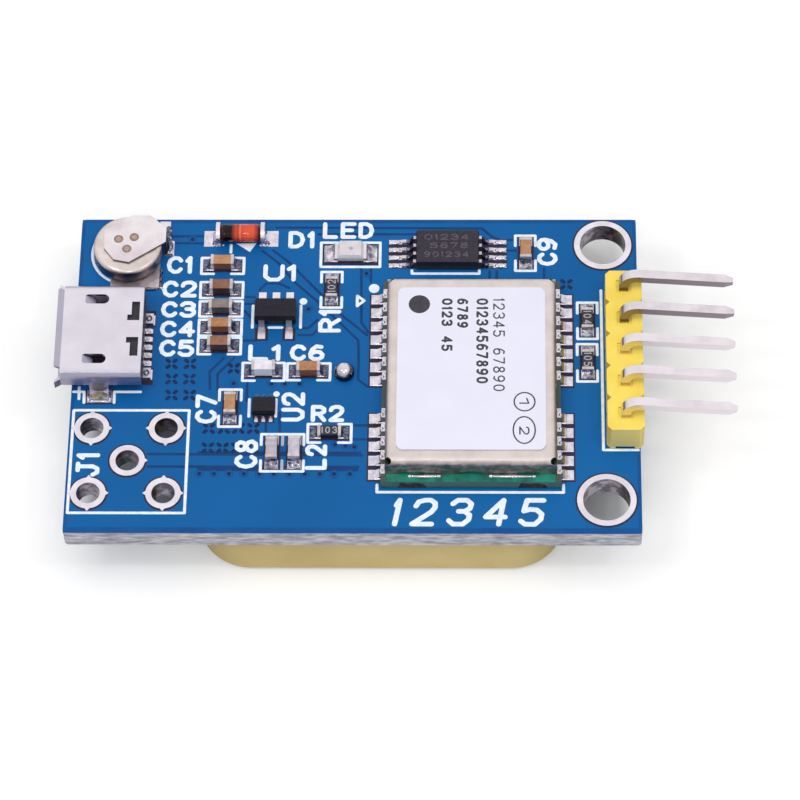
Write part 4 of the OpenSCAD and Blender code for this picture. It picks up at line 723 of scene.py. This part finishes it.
# Regulator, memory chip and amplifier. Black epoxy moulded round a stamped and tinned lead frame, in a mould whose
# eroded surface leaves the tops matte. The memory chip has faint plain numbers on it.
dress(black_epoxy, "regulator_body", "amplifier_body")
charcoal_epoxy, tree, shader = material("moulded_charcoal_epoxy", "#37323D", "#2B2731", 0.15, 0.6, 0.006)
node(tree, shader, {"Specular IOR Level": 0.3})
# the upright sides are painted darker, as painted shade
paint_side_shading(tree, shader, "#141219")
dress(charcoal_epoxy, "memory_body")
# plated tin on the leads is bright on top and painted darker down the bends, as painted shade; the smallest leads
# are painted dark with bright points, as painted dark reflection
lead_tin, tree, shader = material("matte_tin_on_lead_frame", "#E0D9DE", "#B5AEB6", 0.3, 0.32, 0.01, metallic=1.0)
paint_side_shading(tree, shader, "#4E4A56", steep=0.7)
dress(lead_tin, "memory_leads")
speckled_tin, tree, shader = material("tin_with_painted_dark_reflection", "#A29CA6", "#35323E", 0.14, 0.3, 0.02, metallic=1.0)
paint_side_shading(tree, shader, "#2E2B36", steep=0.7)
dress(speckled_tin, "amplifier_leads")
knee_tin, tree, shader = material("matte_tin_on_thick_leads", "#E6DFE4", "#BFB8C0", 0.3, 0.32, 0.01, metallic=1.0)
paint_side_shading(tree, shader, "#A8A2AC", steep=0.7)
dress(knee_tin, "regulator_leads")
feet = [(x, -3.63, 0.14, 0.12, 0.14) for x in amplifier_x]
sheet("amplifier_solder", *domes(feet, pad_top), tin, "solder", smooth=True)
memory_rows = [9.7 + 0.65 * k for k in (-1.5, -0.5, 0.5, 1.5)]
humps = [(memory_x + side * 3.7, y, 0.42, 0.19, 0.1) for side in (-1, 1) for y in memory_rows]
sheet("memory_solder", *domes(humps, pad_top), solder, "solder", smooth=True)
heels = [(memory_x + side * 2.72, y, 0.24, 0.2, 0.24) for side in (-1, 1) for y in memory_rows]
sheet("memory_heels", *domes(heels, pad_top), painted_dark_solder, "solder", smooth=True)
laser, _, _ = material("laser_marked_epoxy", "#5E5660", "#4C4650", 0.2, 0.7, 0.002)
memory_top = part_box("memory_body")[1][2] / mm
chip_rows = [("01234", 4.65, 10.22, 7.75, 10.7), ("5678", 5.05, 9.52, 7.7, 10.0), ("901234", 4.65, 8.78, 7.75, 9.26)]
chip_lines = [line for row in chip_rows for line in letters(*row, 0, 0.09, 0.16)]
sheet("memory_numbers", *strokes(chip_lines, 0.08, memory_top + 0.003, 0.002), laser, "moulded_epoxy")

# Capacitors and inductors. Ceramic sheets pressed, cut and fired into small blocks, then dipped at both ends in
# silver paste and tinned. Each batch fires to its own tan, brown or grey, and the capacitors' sides are painted
# darker, as painted shade.
for name, pale, deep, side, rough, chips in (
        ("fired_tan_dielectric", "#BC8E68", "#AA7C56", "#7E553A", 0.45,
         ("capacitor_1", "capacitor_7", "capacitor_9")),
        ("fired_chocolate_dielectric", "#90654F", "#7C5340", "#4A3028", 0.45, ("capacitor_2",)),
        ("fired_rust_dielectric", "#B8835E", "#A4704A", "#8A5838", 0.45, ("capacitor_4", "capacitor_6")),
        ("fired_grey_dielectric", "#8A817E", "#766E6C", "#5A5250", 0.5, ("capacitor_3",))):
    fired, tree, shader = material(name, pale, deep, 0.35, rough, 0.006)
    paint_side_shading(tree, shader, side)
    dress(fired, *chips)
dress(brown_ceramic, "capacitor_5")
ferrite_white, tree, shader = material("fired_white_ceramic", "#F0EBF3", "#DED8E2", 0.4, 0.4, 0.006)
# its upright sides are painted paler, as painted light
paint_side_shading(tree, shader, "#FFFFFF")
dress(ferrite_white, "inductor_1")
lilac_grey, _, _ = material("fired_lilac_ceramic", "#CFC8D2", "#B8B0BC", 0.4, 0.45, 0.006)
dress(lilac_grey, "inductor_2")
dull_lilac, _, _ = material("fired_dull_lilac_ceramic", "#C0B9C3", "#A9A2AE", 0.4, 0.45, 0.006)
dress(dull_lilac, "capacitor_8")
end_tin, _, _ = material("barrel_plated_tin", "#DAD1D2", "#BFB6B8", 0.4, 0.34, 0.006, metallic=1.0)
dress(end_tin, "chip_ends")

# Resistors. A white ceramic chip with a printed resistive film under black glaze and a three-figure value.
glaze, _, _ = material("black_glaze_over_film", "#2A2831", "#1B1A21", 0.3, 0.3, 0.004)
dress(glaze, "resistor_1", "resistor_2", "resistor_3", "resistor_4")
resistor_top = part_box("resistor_1")[1][2] / mm
value_lines = letters("102", -2.06, 6.25, -1.48, 7.3, 90, 0.08, 0.12)
value_lines += letters("103", -2.22, -5.1, -1.14, -4.56, 0, 0.09, 0.14)
value_lines += letters("104", 15.66, 3.67, 16.24, 4.77, -90, 0.09, 0.14)
value_lines += letters("105", 15.66, 0.27, 16.24, 1.37, -90, 0.09, 0.14)
grey_ink, _, _ = material("grey_glaze_print", "#B7B3C0", "#9D99A8", 0.2, 0.6, 0.001)
sheet("resistor_values", *strokes(value_lines, 0.08, resistor_top + 0.003, 0.002), grey_ink, "label_paper")

# Pin header. Five square brass wires, tinned, pressed through a strip of yellow plastic links and bent over the
# edge of the board. The strip was broken off a longer one, so its front end is torn; its pale tone there is partly
# the torn plastic and partly painted light on that face.
yellow, tree, shader = material("moulded_yellow_plastic", "#F8DE62", "#F2D456", 1.5, 0.42, 0.008)
facing = node(tree, "ShaderNodeSeparateXYZ", {"Vector": node(tree, "ShaderNodeTexCoord", {}).outputs["Object"]})
strip_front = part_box("header_housing")[0][1]
snapped_and_lit = node(tree, "ShaderNodeMapRange", {"Value": facing.outputs["Y"], "From Min": strip_front + 0.1 * mm,
                                            "From Max": strip_front})
tone = shader.inputs["Base Color"].links[0].from_socket
torn_and_lit_end = node(tree, "ShaderNodeMixRGB",
                {"Fac": snapped_and_lit.outputs["Result"], "Color1": tone, "Color2": linear("#FFE98A")})
node(tree, shader, {"Base Color": torn_and_lit_end.outputs["Color"]})
dress(yellow, "header_housing")
wire, tree, shader = material("tinned_square_wire", "#EEE6EB", "#E2D9DF", 2.0, 0.24, 0.002, metallic=1.0)
# the flanks of pins 3 to 5 are painted a little darker, as painted shade
paint_side_shading(tree, shader, "#DDD5DA")
dress(wire, "header_pin_3", "header_pin_4", "header_pin_5")
# on pins 1 and 2 the flanks are painted much darker, as painted dark reflection
dark_flank_wire, tree, shader = material("tinned_square_wire_with_painted_dark_flanks", "#EAE2E7", "#DBD2D8", 1.2, 0.24, 0.003,
                                   metallic=1.0)
paint_side_shading(tree, shader, "#8A8088")
dress(dark_flank_wire, "header_pin_1", "header_pin_2")

# Studio. The module lies on a white table under one large soft lamp, nearly overhead and a little in front, which
# the metal doesn't mirror. Three small lamps at the sides and in front give it points of light, and the white of
# the table and the room is the rest of what it mirrors.


def view_rays(tree):
    """1 on rays that the camera sends, straight or by way of metal and glass, and 0 on all others."""
    path = node(tree, "ShaderNodeLightPath", {}).outputs
    seen = node(tree, "ShaderNodeMath", {0: path["Is Camera Ray"], 1: path["Is Glossy Ray"]}, operation="MAXIMUM")
    shown = node(tree, "ShaderNodeMath", {0: seen.outputs[0], 1: path["Is Transmission Ray"]}, operation="MAXIMUM")
    return shown.outputs[0]


floor_z, half_table = cad_box[0][2] / mm, 1.5
table = bpy.data.materials.new("white_table_top")
table.use_nodes = True
tree = table.node_tree
place = node(tree, "ShaderNodeTexCoord", {}).outputs["Object"]
fibre = node(tree, "ShaderNodeTexNoise", {"Vector": place, "Scale": 1 / (40 * mm)})
pulp = node(tree, "ShaderNodeMixRGB",
            {"Fac": fibre.outputs["Fac"], "Color1": linear("#E0E0E0"), "Color2": linear("#E2E2E2")})
# the glow stops under the module, which paints a shadow on the floor there, so that the floor seen through its holes
# stays dark
shade_x, shade_y, shade_middle = 19.5 * mm, 13 * mm, 3 * mm
spot = node(tree, "ShaderNodeMapping", {"Vector": place, "Location": (0, -shade_middle / shade_y, 0),
                                        "Scale": (1 / shade_x, 1 / shade_y, 1)})
reach = node(tree, "ShaderNodeVectorMath", {0: spot.outputs["Vector"]}, operation="ABSOLUTE")
sides = node(tree, "ShaderNodeSeparateXYZ", {"Vector": reach.outputs["Vector"]})
outward = node(tree, "ShaderNodeMath", {0: sides.outputs["X"], 1: sides.outputs["Y"]}, operation="MAXIMUM")
lit = node(tree, "ShaderNodeMapRange", {"Value": outward.outputs[0], "From Min": 0.93, "From Max": 1.0,
                                        "To Max": 0.3})
glow = node(tree, "ShaderNodeMath", {0: view_rays(tree), 1: lit.outputs["Result"]}, operation="MULTIPLY")
node(tree, tree.nodes["Principled BSDF"],
     {"Base Color": pulp.outputs["Color"], "Roughness": 0.9, "Specular IOR Level": 0.0,
      "Emission Color": linear("#FFFFFF"), "Emission Strength": glow.outputs[0]})
mesh = bpy.data.meshes.new("table_top")
corners = [(x, y, floor_z * mm) for x, y in rect(-half_table, -half_table, half_table, half_table)]
mesh.from_pydata(corners, [], [(0, 1, 2, 3)])
mesh.materials.append(table)
table_top = bpy.data.objects.new("table_top", mesh)
bpy.context.collection.objects.link(table_top)

# each lamp by its place, size, power and whether metal mirrors it
for name, place, size, watts, mirrored in (("top_softbox", (-0.02, -0.08, 0.33), 0.3, 0.72, False),
                                           ("left_lamp", (-0.16, -0.08, 0.32), 0.025, 0.08, True),
                                           ("right_lamp", (0.16, -0.08, 0.32), 0.025, 0.08, True),
                                           ("front_lamp", (-0.01, -0.2, 0.28), 0.025, 0.05, True)):
    lamp = bpy.data.lights.new(name, "AREA")
    lamp.size = size
    lamp.energy = watts
    holder = bpy.data.objects.new(name, lamp)
    holder.location = place
    holder.rotation_euler = (aim - Vector(place)).to_track_quat("-Z", "Y").to_euler()
    holder.visible_glossy = mirrored
    bpy.context.collection.objects.link(holder)

# Dark cards stand round the table, out of view and not mirrored. They hold back light from low directions, so that
# steep sides are darker than tops.
card_black = bpy.data.materials.new("black_felt_card")
card_black.use_nodes = True
node(card_black.node_tree, card_black.node_tree.nodes["Principled BSDF"],
     {"Base Color": linear("#101012"), "Roughness": 0.95, "Specular IOR Level": 0.0})
ring, card_foot, card_head = 0.6, 0.02, 0.34
mesh = bpy.data.meshes.new("dark_cards")
turns = 24
mesh.from_pydata([(ring * math.cos(k * math.tau / turns), ring * math.sin(k * math.tau / turns), z)
                  for z in (card_foot, card_head) for k in range(turns)], [],
                 [(k, (k + 1) % turns, turns + (k + 1) % turns, turns + k) for k in range(turns)])
mesh.materials.append(card_black)
dark_cards = bpy.data.objects.new("dark_cards", mesh)
dark_cards.visible_camera = dark_cards.visible_glossy = False
bpy.context.collection.objects.link(dark_cards)

world = bpy.data.worlds.new("white_room")
bpy.context.scene.world = world
world.use_nodes = True
tree = world.node_tree
strength = node(tree, "ShaderNodeMapRange", {"Value": view_rays(tree), "To Min": 0.5, "To Max": 1.0})
node(tree, tree.nodes["Background"], {"Color": linear("#FFFFFF"), "Strength": strength.outputs["Result"]})
bpy.context.scene.view_settings.view_transform = "Standard"
